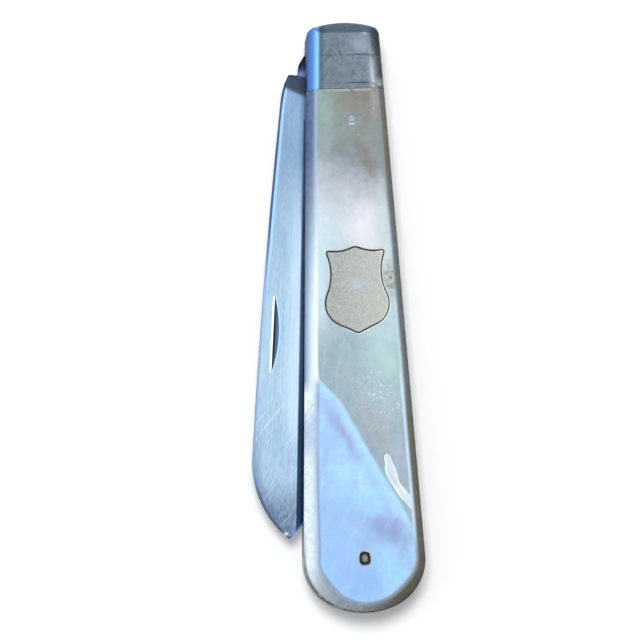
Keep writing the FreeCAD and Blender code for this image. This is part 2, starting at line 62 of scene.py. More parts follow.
# Handle outline
FLIP = np.array([-1.0, 1.0])
JUNCTION = 29.0
END_CENTRE = np.array([0.0, 27.0])
END_RADIUS = 11.0
END_CORNER = np.array([3.55, 36.1344])
END_CORNER_RADIUS = 1.2
BUTT_CENTRE = np.array([0.0, -28.3])
BUTT_RADIUS = 9.7
BUTT_CORNER = np.array([1.225, -31.2562])
BUTT_CORNER_RADIUS = 6.5

# Bevels: their widths, how the butt widens the pearl's, and how its edges are rounded
BEVEL = 1.1
FRONT_BEVEL = 1.5
BACK_BEVEL = 1.15
BUTT_HOLLOW = 0.22
BUTT_HOLLOW_AT = -30.0
BUTT_HOLLOW_REACH = 6.0
CORNER_WEAR = 0.4
BORDER_INSET = 0.01
BORDER_WIDTH = 1.6
BORDER_ROUNDING = [0.4, 0.55]

# Bolster: end facet, blends between its faces, cut lines (place, width, depth), dents and rounded rims
FACET_START = 36.4
FACET_SLOPE = 1.3 / 1.6
SHARP_BLEND = 0.14
SOFT_BLEND = 0.42
CUT_LINES = ((33.4, 0.17, 0.1), (29.75, 0.15, 0.09))
CUT_LEFT = 0.12
CUT_FADE_AT = 0.6
CUT_FADE_RATE = 2.2
DENT_COUNT = 90
DENT_SEED = 29
DENT_FIELD = ([-4.2, 29.2], [4.2, 37.4])
DENT_RADII = (0.12, 0.5)
DENT_DEPTHS = (0.002, 0.012)
RIM_RADIUS = 0.3
JUNCTION_RADIUS = 0.12

# Shield outline, right half from the point up to the top middle, as shares of its width and height
SHIELD_MIDDLE = np.array([0.34, 2.94])
SHIELD_SIZE = np.array([7.76, 11.2])
SHIELD_SHARES = np.array([[0.0, -0.5], [0.3, -0.397], [0.47, -0.023], [0.49, 0.455], [0.0, 0.5]])
SHIELD_ARCS = [(1.5, False), (0.385, True), (0.86, False), (0.64, False)]
SHIELD_POINTS = 240
SHIELD_WEAR = 2.4
SHIELD_INSET = -0.02
SHIELD_EDGE = 0.12
SHIELD_BORDER = 0.22
SHIELD_BED_GAP = 0.12

# Pins: middles and radii, and for the butt pin half sizes of the rivet and of the worn hole round it
PIVOT = np.array([-1.45, 30.95])
PIVOT_RADIUS = 1.0
SCALE_PIN = np.array([0.55, 25.07])
SCALE_PIN_RADIUS = 0.56
SCALE_PIN_HOLE = 0.575
BUTT_PIN = np.array([-0.05, -31.15])
BUTT_RIVET_SIZE = (0.42, 0.52)
BUTT_HOLE_SIZE = (0.68, 0.82)
SHIELD_RIVET = np.array([0.34, 3.54])
SHIELD_RIVET_RADIUS = 0.59
SHIELD_RIVET_HOLE = 0.6
SHIELD_RIVET_DEPTH = 0.4

# Blade: its turn at rest, and in its own frame the nick, the tang's edge, the bevel's line and the point
REST_ANGLE = math.radians(5.0)
NICK_MIDDLE = 33.7
NICK_HALF = 5.0
NICK_LINE = 6.05
NICK_DEPTH = 0.765
TANG_EDGE = 3.73
TANG_LEAN = 0.38
BEVEL_LINE_START = 5.6
BEVEL_LINE_AT = -3.5
BEVEL_LINE_RISE = 1.6 / 54.05
POINT_CENTRE = (-16.56, -48.59, 0.0)
POINT_RADIUS = 17.72

# Looks
PEARL_GLOSS = {"Coat_Weight": 0.2, "Coat_Roughness": 0.12, "IOR": 1.45}
PEARL_VEIL = 0.05
FLOOR_HALF = 3.0
FLOOR_Z = -0.00005
FLOOR_GLOW = 0.1
OVERHEAD = (-0.25, 0.55, 0.0)
SOFT_WHITE = (0.98, 0.99, 1.0)


# Shapes

def between(share, first, second):
    """The point at a share of the way from the first to the second."""
    return (1 - share) * first + share * second


def arc(centre, radius, start, end, count):
    """Points of a circle and the directions to them: centre plus radius times (cos, sin) of even angles."""
    turn = np.linspace(start, end, count)
    way = np.stack([np.cos(turn), np.sin(turn)], axis=1)
    return np.asarray(centre) + radius * way, way


def straight(start, end, normal, count):
    """Points spread evenly from start to end, each with the same normal."""
    share = np.linspace(0, 1, count)[:, None]
    return between(share, start, end), np.broadcast_to(normal, (count, 2))


def side_line():
    """The right side of the handle: the line that touches the butt's and the bolster's corner circles.

    Its normal is square to the line of centres, leaned by the difference of radii over their distance.
    """
    along = END_CORNER - BUTT_CORNER
    length = np.linalg.norm(along)
    lean = (BUTT_CORNER_RADIUS - END_CORNER_RADIUS) / length
    normal = np.array([along[1], -along[0]]) / length * math.sqrt(1 - lean ** 2) + along / length * lean
    low = BUTT_CORNER + BUTT_CORNER_RADIUS * normal
    high = END_CORNER + END_CORNER_RADIUS * normal
    return low, high, normal


SIDE_LOW, SIDE_HIGH, SIDE_NORMAL = side_line()
SIDE_TURN = math.atan2(SIDE_NORMAL[1], SIDE_NORMAL[0])


def side_at(along):
    """The point of the right side at a place along the handle."""
    return between((along - SIDE_LOW[1]) / (SIDE_HIGH[1] - SIDE_LOW[1]), SIDE_LOW, SIDE_HIGH)


def join(*parts):
    """One path out of several, without the points that they share."""
    return [np.vstack([lot[0][:1], *(rows[1:] for rows in lot)]) for lot in zip(*parts)]


def scale_path():
    """The scale's border from the junction's left end round the butt to its right end, and its normals."""
    corner = side_at(JUNCTION)
    butt_turn = math.atan2(BUTT_CORNER[1] - BUTT_CENTRE[1], BUTT_CORNER[0])
    points, normals = join(
        straight(corner * FLIP, SIDE_LOW * FLIP, SIDE_NORMAL * FLIP, 60),
        arc(BUTT_CORNER * FLIP, BUTT_CORNER_RADIUS, math.pi - SIDE_TURN, math.pi - butt_turn, 28),
        arc(BUTT_CENTRE, BUTT_RADIUS, math.pi - butt_turn - 2 * math.pi, butt_turn, 18),
        arc(BUTT_CORNER, BUTT_CORNER_RADIUS, butt_turn, SIDE_TURN, 28),
        straight(SIDE_LOW, corner, SIDE_NORMAL, 60))
    normals[[0, -1]] = [[-1.0, 0.0], [1.0, 0.0]]
    return points, normals


def spread(points, count):
    """Points at even distances along a broken line."""
    run = np.concatenate([[0.0], np.cumsum(np.linalg.norm(np.diff(points, axis=0), axis=1))])
    share = np.linspace(0, run[-1], count)
    return np.stack([np.interp(share, run, points[:, axis]) for axis in range(2)], axis=1)


def blurred(rows, width):
    """Rows of a closed line, each the Gaussian mean of itself and its neighbours; width counts rows."""
    steps = np.arange(-8, 9)
    weights = np.exp(-(steps / width) ** 2 / 2)
    weights /= weights.sum()
    return sum(weight * np.roll(rows, step, axis=0) for weight, step in zip(weights, steps))


def shield_path(gap):
    """The shield's border, anticlockwise from its point, widened by a gap.

    Each side is an arc: its centre lies on the line square to the chord's middle, at the root of the squared
    radius less the squared half chord. Wear rounds the corners: evenly spread points are blurred along the
    border. The gap moves every point out along its normal, which is blurred too and so shorter at corners.
    """
    right = SHIELD_SHARES * SHIELD_SIZE
    corners = SHIELD_MIDDLE + np.vstack([right, (right * FLIP)[-2::-1]])
    sides = []
    for start, end, (share, outwards) in zip(corners[:-1], corners[1:], SHIELD_ARCS + SHIELD_ARCS[::-1]):
        radius = share * SHIELD_SIZE[0]
        chord = end - start
        left = np.array([-chord[1], chord[0]]) / np.linalg.norm(chord)
        reach = math.sqrt(radius ** 2 - chord @ chord / 4)
        centre = (start + end) / 2 + left * (reach if outwards else -reach)
        turns = np.unwrap(np.arctan2(*np.stack([start - centre, end - centre])[:, ::-1].T))
        sides.append(arc(centre, radius, turns[0], turns[1], 16)[0][:-1])
    points = blurred(spread(np.vstack([*sides, corners[:1]]), SHIELD_POINTS + 1)[:-1], SHIELD_WEAR)
    along = np.roll(points, -1, axis=0) - np.roll(points, 1, axis=0)
    normals = np.stack([along[:, 1], -along[:, 0]], axis=1)
    normals = blurred(normals / np.linalg.norm(normals, axis=1, keepdims=True), SHIELD_WEAR)
    return points + gap * normals, normals


def round_corners(corners, radii, steps=8):
    """A profile through corners, each rounded by an arc that touches both of its sides.

    The arc starts and ends at radius times the tangent of half the turn from the corner.
    """
    corners = np.asarray(corners, float)
    parts = [corners[:1]]
    for before, corner, after, radius in zip(corners, corners[1:], corners[2:], radii):
        come = (corner - before) / np.linalg.norm(corner - before)
        go = (after - corner) / np.linalg.norm(after - corner)
        turn = math.atan2(come[0] * go[1] - come[1] * go[0], come @ go)
        back = radius * math.tan(abs(turn) / 2)
        inward = np.array([-come[1], come[0]]) * math.copysign(radius, turn)
        start = math.atan2(*(-inward)[::-1])
        parts.append(arc(corner - come * back + inward, radius, start, start + turn, steps)[0])
    return np.vstack([*parts, corners[-1:]])


def carry(path, profile, share=1.0):
    """A profile carried along a path: each row is the path moved in by its depth and lifted to its height.

    The share, one for all points or one each, spreads the profile's depths and its drops below the front.
    """
    points, normals = path
    share = share * np.ones(len(points))
    plan = points[None] - normals[None] * (profile[:, :1] * share)[..., None]
    height = FRONT_Z - (FRONT_Z - profile[:, 1:]) * share
    return np.concatenate([plan, height[..., None]], axis=2)


def grid_faces(rows, columns, first=0, closed=False):
    """Four-sided faces between neighbouring rows and columns of a grid of points numbered row by row."""
    number = first + np.arange(rows * columns).reshape(rows, columns)
    if closed:
        number = np.hstack([number, number[:, :1]])
    corners = [number[:-1, :-1], number[:-1, 1:], number[1:, 1:], number[1:, :-1]]
    return np.stack(corners, axis=-1).reshape(-1, 4)


def flat_cap(loops):
    """Triangles of a flat face between an outer loop and its holes, each with its points' numbers, facing up.

    They are the Delaunay triangles between the loops whose middle lies inside: a line from there to the right
    crosses the loops an odd number of times.
    """
    points = np.vstack([points for points, _ in loops])[:, :2]
    numbers = np.concatenate([numbers for _, numbers in loops])
    firsts = np.cumsum([0] + [len(loop) for loop, _ in loops])
    edges = np.vstack([
        np.stack([np.arange(first, last), np.roll(np.arange(first, last), -1)], axis=1)
        for first, last in zip(firsts, firsts[1:])])
    net = delaunay_2d_cdt([Vector(point) for point in points.tolist()], edges.tolist(), [], 0, 1e-9)
    kept = np.array([sources[0] for sources in net[3]])
    triangles = kept[np.array(net[2])]
    middle = points[triangles].mean(axis=1)
    low, high = points[edges[:, 0]], points[edges[:, 1]]
    spans = (low[:, 1] > middle[:, 1:]) != (high[:, 1] > middle[:, 1:])
    rise = np.where(high[:, 1] == low[:, 1], 1.0, high[:, 1] - low[:, 1])
    cross = low[:, 0] + (middle[:, 1:] - low[:, 1]) / rise * (high[:, 0] - low[:, 0])
    inside = (spans & (cross > middle[:, :1])).sum(axis=1) % 2 == 1
    return numbers[triangles[inside]]


class Shell:
    """Points and faces of one piece, with a material number per face and a border depth per point."""

    def __init__(self):
        self.points = np.zeros((0, 3))
        self.depths = np.zeros(0)
        self.faces = []
        self.finishes = []

    def add_points(self, points, depth):
        """Points with their border depth; returns their numbers."""
        first = len(self.points)
        self.points = np.vstack([self.points, points])
        self.depths = np.concatenate([self.depths, np.broadcast_to(depth, len(points))])
        return np.arange(first, first + len(points))

    def add_faces(self, faces, finish=0):
        """Faces, each a list of point numbers, with the number of their material."""
        self.faces += [tuple(int(corner) for corner in face) for face in faces]
        self.finishes += [finish] * len(faces)

    def add_rows(self, rows, depths, closed, finish=0):
        """Rows of points, each with its depth, as a band of faces; returns the numbers of both end rows."""
        count = rows.shape[1]
        numbers = self.add_points(rows.reshape(-1, 3), np.repeat(depths, count))
        self.add_faces(grid_faces(len(rows), count, numbers[0], closed), finish)
        return numbers[:count], numbers[-count:]

    def add_band(self, path, profile, closed, finish=0):
        """A profile carried along a path, as a band of faces."""
        return self.add_rows(carry(path, profile), profile[:, 0], closed, finish)

    def add_hole(self, path, rim, depth):
        """A hole down to a floor: the first strip of its rim has the third finish, the rest the second."""
        first = len(self.faces)
        top, floor = self.add_band(path, rim, closed=True, finish=1)
        self.finishes[first:first + len(top)] = [2] * len(top)
        self.depths[top[0]:floor[-1] + 1] = depth
        self.add_faces([floor], 1)
        return self.points[top], top

    def make(self, name, body, slot, replaced, materials, sharp=35.0, turned=False):
        """Write the piece as a mesh in metres; turned mirrors it in the middle plane, for the rear side."""
        points = self.points.copy()
        faces = self.faces
        if turned:
            points[:, 2] = FRONT_Z - points[:, 2]
            faces = [face[::-1] for face in faces]
        mesh = bpy.data.meshes.new(name)
        mesh.from_pydata((points * MM).tolist(), [], faces)
        mesh.polygons.foreach_set("use_smooth", np.ones(len(faces), bool))
        mesh.polygons.foreach_set("material_index", np.array(self.finishes, np.int32))
        depth = mesh.attributes.new("border_depth", "FLOAT", "POINT")
        depth.data.foreach_set("value", self.depths.astype(np.float32))
        mesh.set_sharp_from_angle(angle=math.radians(sharp))
        for material in materials:
            mesh.materials.append(material)
        mesh.validate()
        piece = bpy.data.objects.new(name, mesh)
        bpy.context.scene.collection.objects.link(piece)
        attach(piece, body)
        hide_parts(*replaced)
        return piece


def circle_path(centre, radius, count=40):
    """A circle's points and outward normals, anticlockwise, without the repeated last point."""
    points, normals = arc(centre, radius, 0, 2 * math.pi, count + 1)
    return points[:-1], normals[:-1]


def box_path(centre, half_size, corner, count=40):
    """The border of a worn pin or its hole, a box with rounded corners, and the directions round it.

    Across and along, the distance is the half size times the cosine and sine, raised to the corner's power.
    """
    _, way = circle_path(centre, 1.0, count)
    return centre + np.sign(way) * np.abs(way) ** corner * half_size, way


def bevel_share(path):
    """The bevel's width round the border as a share of the usual one: wider in front and at the butt.

    It goes from the back width to the front width with how far the normal points to the front. At the butt's
    front corner a Gaussian along the handle widens it further, and at both corners the square of the sine of
    twice the normal's angle.
    """
    points, normals = path
    front = np.clip(-normals[:, 0], 0, 1)
    hollow = BUTT_HOLLOW * np.exp(-((points[:, 1] - BUTT_HOLLOW_AT) / BUTT_HOLLOW_REACH) ** 2)
    corner = CORNER_WEAR * (2 * normals[:, 0] * np.clip(-normals[:, 1], 0, 1)) ** 2
    return (BACK_BEVEL + front * (FRONT_BEVEL - BACK_BEVEL + hollow) + corner) / BEVEL


def pearl_shell(holes):
    """A pearl slab: a wall, a bevel and a flat face with worn edges, carried along the border, then capped.

    holes are (path, rim profile) pairs: each profile goes down from the face into a hole, which gets a floor.
    """
    shell = Shell()
    path = scale_path()
    corners = [(BORDER_INSET, SCALE_FOOT_Z), (BORDER_INSET, BEVEL_FOOT_Z), (BEVEL, FRONT_Z)]
    profile = round_corners([*corners, (BORDER_WIDTH, FRONT_Z)], BORDER_ROUNDING)
    rows = carry(path, profile, bevel_share(path))
    rows[0, :, 2] = SCALE_FOOT_Z
    low, high = shell.add_rows(rows, profile[:, 0], closed=False)
    loops = [(shell.points[high], high)]
    loops += [shell.add_hole(hole, rim, profile[-1, 0]) for hole, rim in holes]
    shell.add_faces(flat_cap(loops))
    shell.add_faces([low[::-1]])
    climb = len(low) * np.arange(len(profile))
    shell.add_faces([np.concatenate([low[0] + climb, (low[-1] + climb)[::-1]])])
    return shell


def soft_minimum(heights, blend):
    """The lowest of several heights, joined round: -blend times the log of the sum of exp(-height/blend)."""
    stack = np.stack(heights)
    low = stack.min(axis=0)
    return low - blend * np.log(np.exp(-(stack - low) / blend).sum(axis=0))


def bolster_height(place, wear):
    """The bolster's face over a place in plan.

    The soft minimum of the flat, the front bevel and the end facet, and a softer one with the back bevel,
    less two cut lines that wear has faded towards the front, and less shallow dents: Gaussian hollows strewn
    by a seeded generator.
    """
    x, y = place[..., 0], place[..., 1]
    back, front = (FRONT_Z - width + (SIDE_HIGH - np.stack([way * x, y], axis=-1)) @ SIDE_NORMAL
                   for way, width in ((1, BACK_BEVEL), (-1, FRONT_BEVEL)))
    facet = FRONT_Z - (y - FACET_START) * FACET_SLOPE
    height = soft_minimum([np.full_like(x, FRONT_Z), front, facet], SHARP_BLEND)
    height = soft_minimum([height, back], SOFT_BLEND)
    kept = CUT_LEFT + (1 - CUT_LEFT) / (1 + np.exp(-(x - CUT_FADE_AT) * CUT_FADE_RATE * wear))
    for line, width, depth in CUT_LINES:
        height -= depth * kept * np.exp(-((y - line) / width) ** 2)
    dice = np.random.default_rng(DENT_SEED)
    for _ in range(DENT_COUNT):
        middle = dice.uniform(*DENT_FIELD)
        radius = dice.uniform(*DENT_RADII)
        height -= dice.uniform(*DENT_DEPTHS) * np.exp(-((place - middle) ** 2).sum(axis=-1) / radius ** 2)
    return height


def bolster_shell(wear, across=130, along=140):
    """A bolster: a patch blended between its four border lines, lifted to its height and rounded at its rim.

    Each point is the two blends of facing borders less the blend of the four corners. Within a radius of the
    rim the face falls away on a quarter circle. Under the rim stands a plain wall.
    """
    corner = side_at(JUNCTION)
    end_turn = math.atan2(END_CORNER[1] - END_CENTRE[1], END_CORNER[0])
    middle_turn = (SIDE_TURN + end_turn) / 2
    right = spread(np.vstack([
        [corner], arc(END_CORNER, END_CORNER_RADIUS, SIDE_TURN, middle_turn, 12)[0]]), along)
    top = spread(np.vstack([
        arc(END_CORNER * FLIP, END_CORNER_RADIUS, math.pi - middle_turn, math.pi - end_turn, 12)[0],
        arc(END_CENTRE, END_RADIUS, math.pi - end_turn, end_turn, 60)[0][1:],
        arc(END_CORNER, END_CORNER_RADIUS, end_turn, middle_turn, 12)[0][1:]]), across)
    left = right * FLIP
    low = spread(np.stack([corner * FLIP, corner]), across)
    aside = np.linspace(0, 1, across)[None, :, None]
    onward = np.linspace(0, 1, along)[:, None, None]
    corners = between(onward, between(aside, low[0], low[-1]), between(aside, top[0], top[-1]))
    plan = between(onward, low[None], top[None]) + between(aside, left[:, None], right[:, None]) - corners
    rim = np.vstack([right, top[::-1][1:], left[::-1][1:]])
    gap = np.sqrt(((plan.reshape(-1, 1, 2) - rim[None]) ** 2).sum(axis=-1)).min(axis=1)
    gap = gap.reshape(along, across)
    height = bolster_height(plan, wear)
    for depth, radius in ((gap, RIM_RADIUS), (plan[..., 1] - JUNCTION, JUNCTION_RADIUS)):
        inside = np.clip(depth, 0, radius)
        height -= radius - np.sqrt(radius ** 2 - (radius - inside) ** 2)
    shell = Shell()
    face = np.concatenate([plan, height[..., None]], axis=2).reshape(-1, 3)
    numbers = shell.add_points(face, gap.ravel()).reshape(along, across)
    shell.add_faces(grid_faces(along, across))
    border = np.concatenate([numbers[:, -1], numbers[-1, -2::-1], numbers[-2::-1, 0]])
    foot_points = shell.points[border].copy()
    foot_points[:, 2] = SCALE_FOOT_Z
    foot = shell.add_points(foot_points, 0.0)
    shell.add_faces(np.stack([foot[:-1], foot[1:], border[1:], border[:-1]], axis=1))
    shell.add_faces([foot[::-1], np.concatenate([[foot[-1], foot[0]], numbers[0, ::-1]])])
    return shell


def shield_shell():
    """The shield: a plate with its upper edge worn round, carried along its border, holed for the rivet."""
    shell = Shell()
    profile = round_corners(
        [(0.0, SHIELD_FOOT_Z), (0.0, FRONT_Z), (SHIELD_BORDER, FRONT_Z)], [SHIELD_EDGE], 5)
    depths = np.append(profile[:-1, 0], 1.0)
    low, high = shell.add_rows(carry(shield_path(SHIELD_INSET), profile), depths, closed=True)
    wall = np.array([(0.0, FRONT_Z), (0.0, FRONT_Z - SHIELD_RIVET_DEPTH)])
    hole = shell.add_hole(circle_path(SHIELD_RIVET, SHIELD_RIVET_HOLE), wall, 1.0)
    shell.add_faces(flat_cap([(shell.points[high], high), hole]))
    shell.add_faces([low[::-1]])
    return shell


def pin_shell(path, radius, low, high, crown, both_ends=False):
    """A pin: a wall and one or two crowned ends that fall by the crown times the radius share squared."""
    shell = Shell()
    share = np.linspace(1, 0.04, 14)
    depth = radius * (1 - share)
    fall = crown * share ** 2
    foot = np.stack([depth, low + fall], axis=1)[::-1]
    profile = np.vstack([foot if both_ends else [(0.0, low)], np.stack([depth, high - fall], axis=1)])
    first, last = shell.add_band(path, profile, closed=True)
    shell.add_faces([first[::-1], last])
    return shell


# Node trees

def shade(colour):
    """A screen colour as the linear colour that a socket holds; a node's colour stays as it is."""
    if isinstance(colour, bpy.types.NodeSocket):
        return colour
    share = np.asarray(colour, float) / 255
    linear = np.where(share <= 0.04045, share / 12.92, ((share + 0.055) / 1.055) ** 2.4)
    return (*linear.tolist(), 1.0)


class Tree:
    """A node tree with short calls that add nodes to it."""

    def __init__(self, tree):
        self.tree = tree

    def feed(self, socket, value):
        """Link a node's result to a socket, or set the socket to a constant."""
        value = value.socket if isinstance(value, Value) else value
        if isinstance(value, bpy.types.NodeSocket):
            self.tree.links.new(value, socket)
        else:
            socket.default_value = value

    def node(self, kind, inputs=None, **settings):
        """A new node with its settings, and what goes into its sockets."""
        node = self.tree.nodes.new(kind)
        for name, value in settings.items():
            setattr(node, name, value)
        for socket, value in (inputs or {}).items():
            self.feed(node.inputs[socket], value)
        return node

    def value(self, kind, inputs=None, output=0, **settings):
        """The number that a new node gives."""
        return Value(self, self.node(kind, inputs, **settings).outputs[output])

    def mix(self, share, first, second, blend="MIX"):
        """One colour over another by a share."""
        return self.node("ShaderNodeMix", {0: share, 6: shade(first), 7: shade(second)},
                         data_type="RGBA", blend_type=blend).outputs[2]

    def paint(self, under, *coats, blend="MIX"):
        """Coats laid over a colour one after another, each a pair of its colour and its share."""
        for colour, share in coats:
            under = self.mix(share, under, colour, blend)
        return under


class Value:
    """A number that a tree's nodes work out; sums, products, steps and ramps of it add nodes."""

    kind = "ShaderNodeMath"

    def __init__(self, tree, socket):
        self.tree = tree
        self.socket = socket

    def work(self, operation, *others):
        """The value and others put through an operation."""
        node = self.tree.node(self.kind, dict(enumerate((self, *others))), operation=operation)
        return type(self)(self.tree, node.outputs[0])

    def __add__(self, other):
        return self.work("ADD", other)

    def __sub__(self, other):
        return self.work("SUBTRACT", other)

    def __mul__(self, other):
        return self.work("MULTIPLY", other)

    def __truediv__(self, other):
        return self.work("DIVIDE", other)

    def rest(self):
        """What is left of one, and nothing where the value is more than that."""
        return self.tree.value("ShaderNodeMath", {0: 1.0, 1: self}, operation="SUBTRACT", use_clamp=True)

    def step(self, low, high, start=0.0, end=1.0):
        """A smooth step from start to end while the value goes from low to high."""
        return self.tree.value("ShaderNodeMapRange", {0: self, 1: low, 2: high, 3: start, 4: end},
                               interpolation_type="SMOOTHSTEP")

    def ramp(self, *stops):
        """A screen colour for each value: stops are pairs of a value and its colour, in their order."""
        low, high = stops[0][0], stops[-1][0]
        share = self.tree.value("ShaderNodeMapRange", {0: self, 1: low, 2: high})
        node = self.tree.node("ShaderNodeValToRGB", {0: share})
        places = node.color_ramp.elements
        places.remove(places[1])
        places[0].color = shade(stops[0][1])
        for at, colour in stops[1:]:
            places.new((at - low) / (high - low)).color = shade(colour)
        return node.outputs[0]

    def curve(self, floor, ceiling, *points):
        """A smooth line through given points: pairs of a value and a result between floor and ceiling."""
        low, high = points[0][0], points[-1][0]
        share = self.tree.value("ShaderNodeMapRange", {0: self, 1: low, 2: high})
        node = self.tree.node("ShaderNodeFloatCurve", {1: share})
        line = node.mapping.curves[0].points
        while len(line) < len(points):
            line.new(0.5, 0.5)
        for point, (at, result) in zip(line, points):
            point.location = ((at - low) / (high - low), (result - floor) / (ceiling - floor))
        node.mapping.update()
        return self.tree.value("ShaderNodeMapRange", {0: node.outputs[0], 3: floor, 4: ceiling})


class Place(Value):
    """A place that a tree's nodes work out; sums and products go number by number."""

    kind = "ShaderNodeVectorMath"

    def dot(self, other):
        """The sum of the products with another place's numbers."""
        return self.tree.value(self.kind, {0: self, 1: other}, "Value", operation="DOT_PRODUCT")

    def off(self, centre):
        """The distance from a centre in plan."""
        return self.tree.value(self.kind, {0: (self - centre) * (1, 1, 0)}, "Value", operation="LENGTH")

    def turned(self, angle):
        """The place turned about Z."""
        node = self.tree.node(
            "ShaderNodeVectorRotate", {"Vector": self, "Angle": angle}, rotation_type="Z_AXIS")
        return Place(self.tree, node.outputs[0])

    def apart(self):
        """The three numbers of the place."""
        return [Value(self.tree, part) for part in self.tree.node("ShaderNodeSeparateXYZ", {0: self}).outputs]

    def noise(self, scale, detail, roughness=0.55):
        """Layered noise: its number, and its colour as a place."""
        outputs = self.tree.node("ShaderNodeTexNoise", {
            "Vector": self, "Scale": scale, "Detail": detail, "Roughness": roughness}).outputs
        return Value(self.tree, outputs[0]), Place(self.tree, outputs[1])


class Effect(Tree):
    """A group of nodes that makes a mask from a place and other inputs, each named with its usual value."""

    def __init__(self, name, **inputs):
        super().__init__(bpy.data.node_groups.new(name, "ShaderNodeTree"))
        kinds = []
        for label, usual in {"place": (0, 0, 0), **inputs}.items():
            single = isinstance(usual, float)
            kinds.append(Value if single else Place)
            socket = self.tree.interface.new_socket(
                label, in_out="INPUT", socket_type="NodeSocketFloat" if single else "NodeSocketVector")
            socket.default_value = usual
        self.tree.interface.new_socket("mask", in_out="OUTPUT", socket_type="NodeSocketFloat")
        given = self.node("NodeGroupInput").outputs
        self.given = [kind(self, socket) for kind, socket in zip(kinds, given)]

    def end(self, mask):
        """Feed the mask to the group's output; returns the group."""
        self.node("NodeGroupOutput", {0: mask})
        return self.tree


def make_soft_patch():
    """A soft oval spot: exp of minus the squared distance from its centre over its reach, after a turn."""
    effect = Effect("soft_patch", centre=(0, 0, 0), reach=(1, 1, 1), turn=0.0)
    place, centre, reach, turn = effect.given
    share = ((place - centre) * (1, 1, 0)).turned(turn) / reach
    return effect.end((share.dot(share) * -1.0).work("EXPONENT"))


def make_hairlines():
    """Fine lines along Y: noise squeezed across and drawn out along, spread to the full range."""
    effect = Effect("hairlines", turn=0.0, across=6.0, along=0.15, low=0.3, high=0.7)
    place, turn, across, along, low, high = effect.given
    squeeze = effect.node("ShaderNodeCombineXYZ", {0: across, 1: along, 2: across}).outputs[0]
    lines, _ = (place.turned(turn) * squeeze).noise(1.0, detail=2.0)
    return effect.end(lines.step(low, high))


def make_specks():
    """Small round spots: the cells of a Voronoi pattern that a draw picks, as far as their size reaches."""
    effect = Effect("specks", scale=3.0, size=0.3, share=0.3)
    place, scale, size, share = effect.given
    cells = effect.node("ShaderNodeTexVoronoi", {"Vector": place, "Scale": scale}).outputs
    draws = effect.node("ShaderNodeSeparateColor", {0: cells["Color"]}).outputs
    chance, part = Value(effect, draws[0]), Value(effect, draws[1])
    inside = (Value(effect, cells["Distance"]) / (size * part)).rest()
    return effect.end(inside.step(0.0, 0.6) * chance.work("LESS_THAN", share))


def make_clouds():
    """Cloudy change over the surface: layered noise, spread to the full range."""
    effect = Effect("clouds", scale=0.5, low=0.3, high=0.7)
    place, scale, low, high = effect.given
    cover, _ = place.noise(scale, detail=5.0)
    return effect.end(cover.step(low, high))


SOFT_PATCH = make_soft_patch()
HAIRLINES = make_hairlines()
SPECKS = make_specks()
CLOUDS = make_clouds()


class Finish(Tree):
    """A material: its tree, the place on the piece in millimetres and the shader that everything ends in."""

    def __init__(self, name, **sockets):
        self.material = bpy.data.materials.new(name)
        self.material.use_nodes = True
        super().__init__(self.material.node_tree)
        self.shader = self.tree.nodes["Principled BSDF"]
        for socket, value in sockets.items():
            self.shader.inputs[socket.replace("_", " ")].default_value = value
        coordinates = Place(self, self.node("ShaderNodeTexCoord").outputs["Object"])
        self.place = coordinates * (1 / MM, 1 / MM, 1 / MM)

    def effect(self, group, **inputs):
        """The mask of an effect, at the piece's own place unless another one is given."""
        return self.value("ShaderNodeGroup", {"place": self.place, **inputs}, node_tree=group)

    def border_depth(self):
        """How far in from the rim a point lies, as the mesh says."""
        return self.value("ShaderNodeAttribute", output="Fac", attribute_name="border_depth")

    def patches(self, under, place, *spots):
        """Soft oval spots laid one over another: centre, reach, turn in degrees, colour and strength."""
        for (x, y), (wide, long), turn, colour, strength in spots:
            mask = self.effect(
                SOFT_PATCH, place=place, centre=(x, y, 0), reach=(wide, long, 1), turn=math.radians(turn))
            under = self.paint(under, (colour, mask * strength))
        return under

    def end(self, colour, roughness, height, lift, strength=1.0, veil=0.0):
        """Feed the shader; height is bumped by lift, in millimetres. A gloss's veil comes off the colour."""
        clear = self.node("ShaderNodeMix", {0: 1.0, 6: colour, 7: (veil, veil, veil, 1.0)},
                          data_type="RGBA", blend_type="SUBTRACT").outputs[2]
        bump = self.node("ShaderNodeBump", {"Height": height, "Distance": lift * MM, "Strength": strength})
        for socket, value in (("Base Color", clear), ("Roughness", roughness), ("Normal", bump.outputs[0])):
            self.feed(self.shader.inputs[socket], value)
        return self.material


# Finishes

def rippled(finish, scale, *sways):
    """Noise over the piece, and the piece's place pushed about by it, once for each sway across and along."""
    ripple, hues = finish.place.noise(scale, detail=4.0, roughness=0.5)
    drift = hues - (0.5, 0.5, 0.5)
    return ripple, *(finish.place + drift * (*sway, 0.0) for sway in sways)


def pearl_sheen(finish, colour, place, turn, across, lines, scale, hues):
    """Growth lines and a slow rainbow over the pearl, by their shares; returns colour and roughness."""
    growth = finish.effect(HAIRLINES, place=place, turn=turn, across=across, along=0.06, high=0.72)
    rainbow = place.noise(scale, detail=2.0)[0].ramp(
        (0.3, (188, 198, 224)), (0.42, (182, 214, 200)), (0.55, (218, 200, 210)), (0.7, (188, 206, 226)))
    colour = finish.paint(colour, ((236, 240, 244), growth * lines), (rainbow, hues), blend="SOFT_LIGHT")
    return colour, growth * 0.08 + 0.2


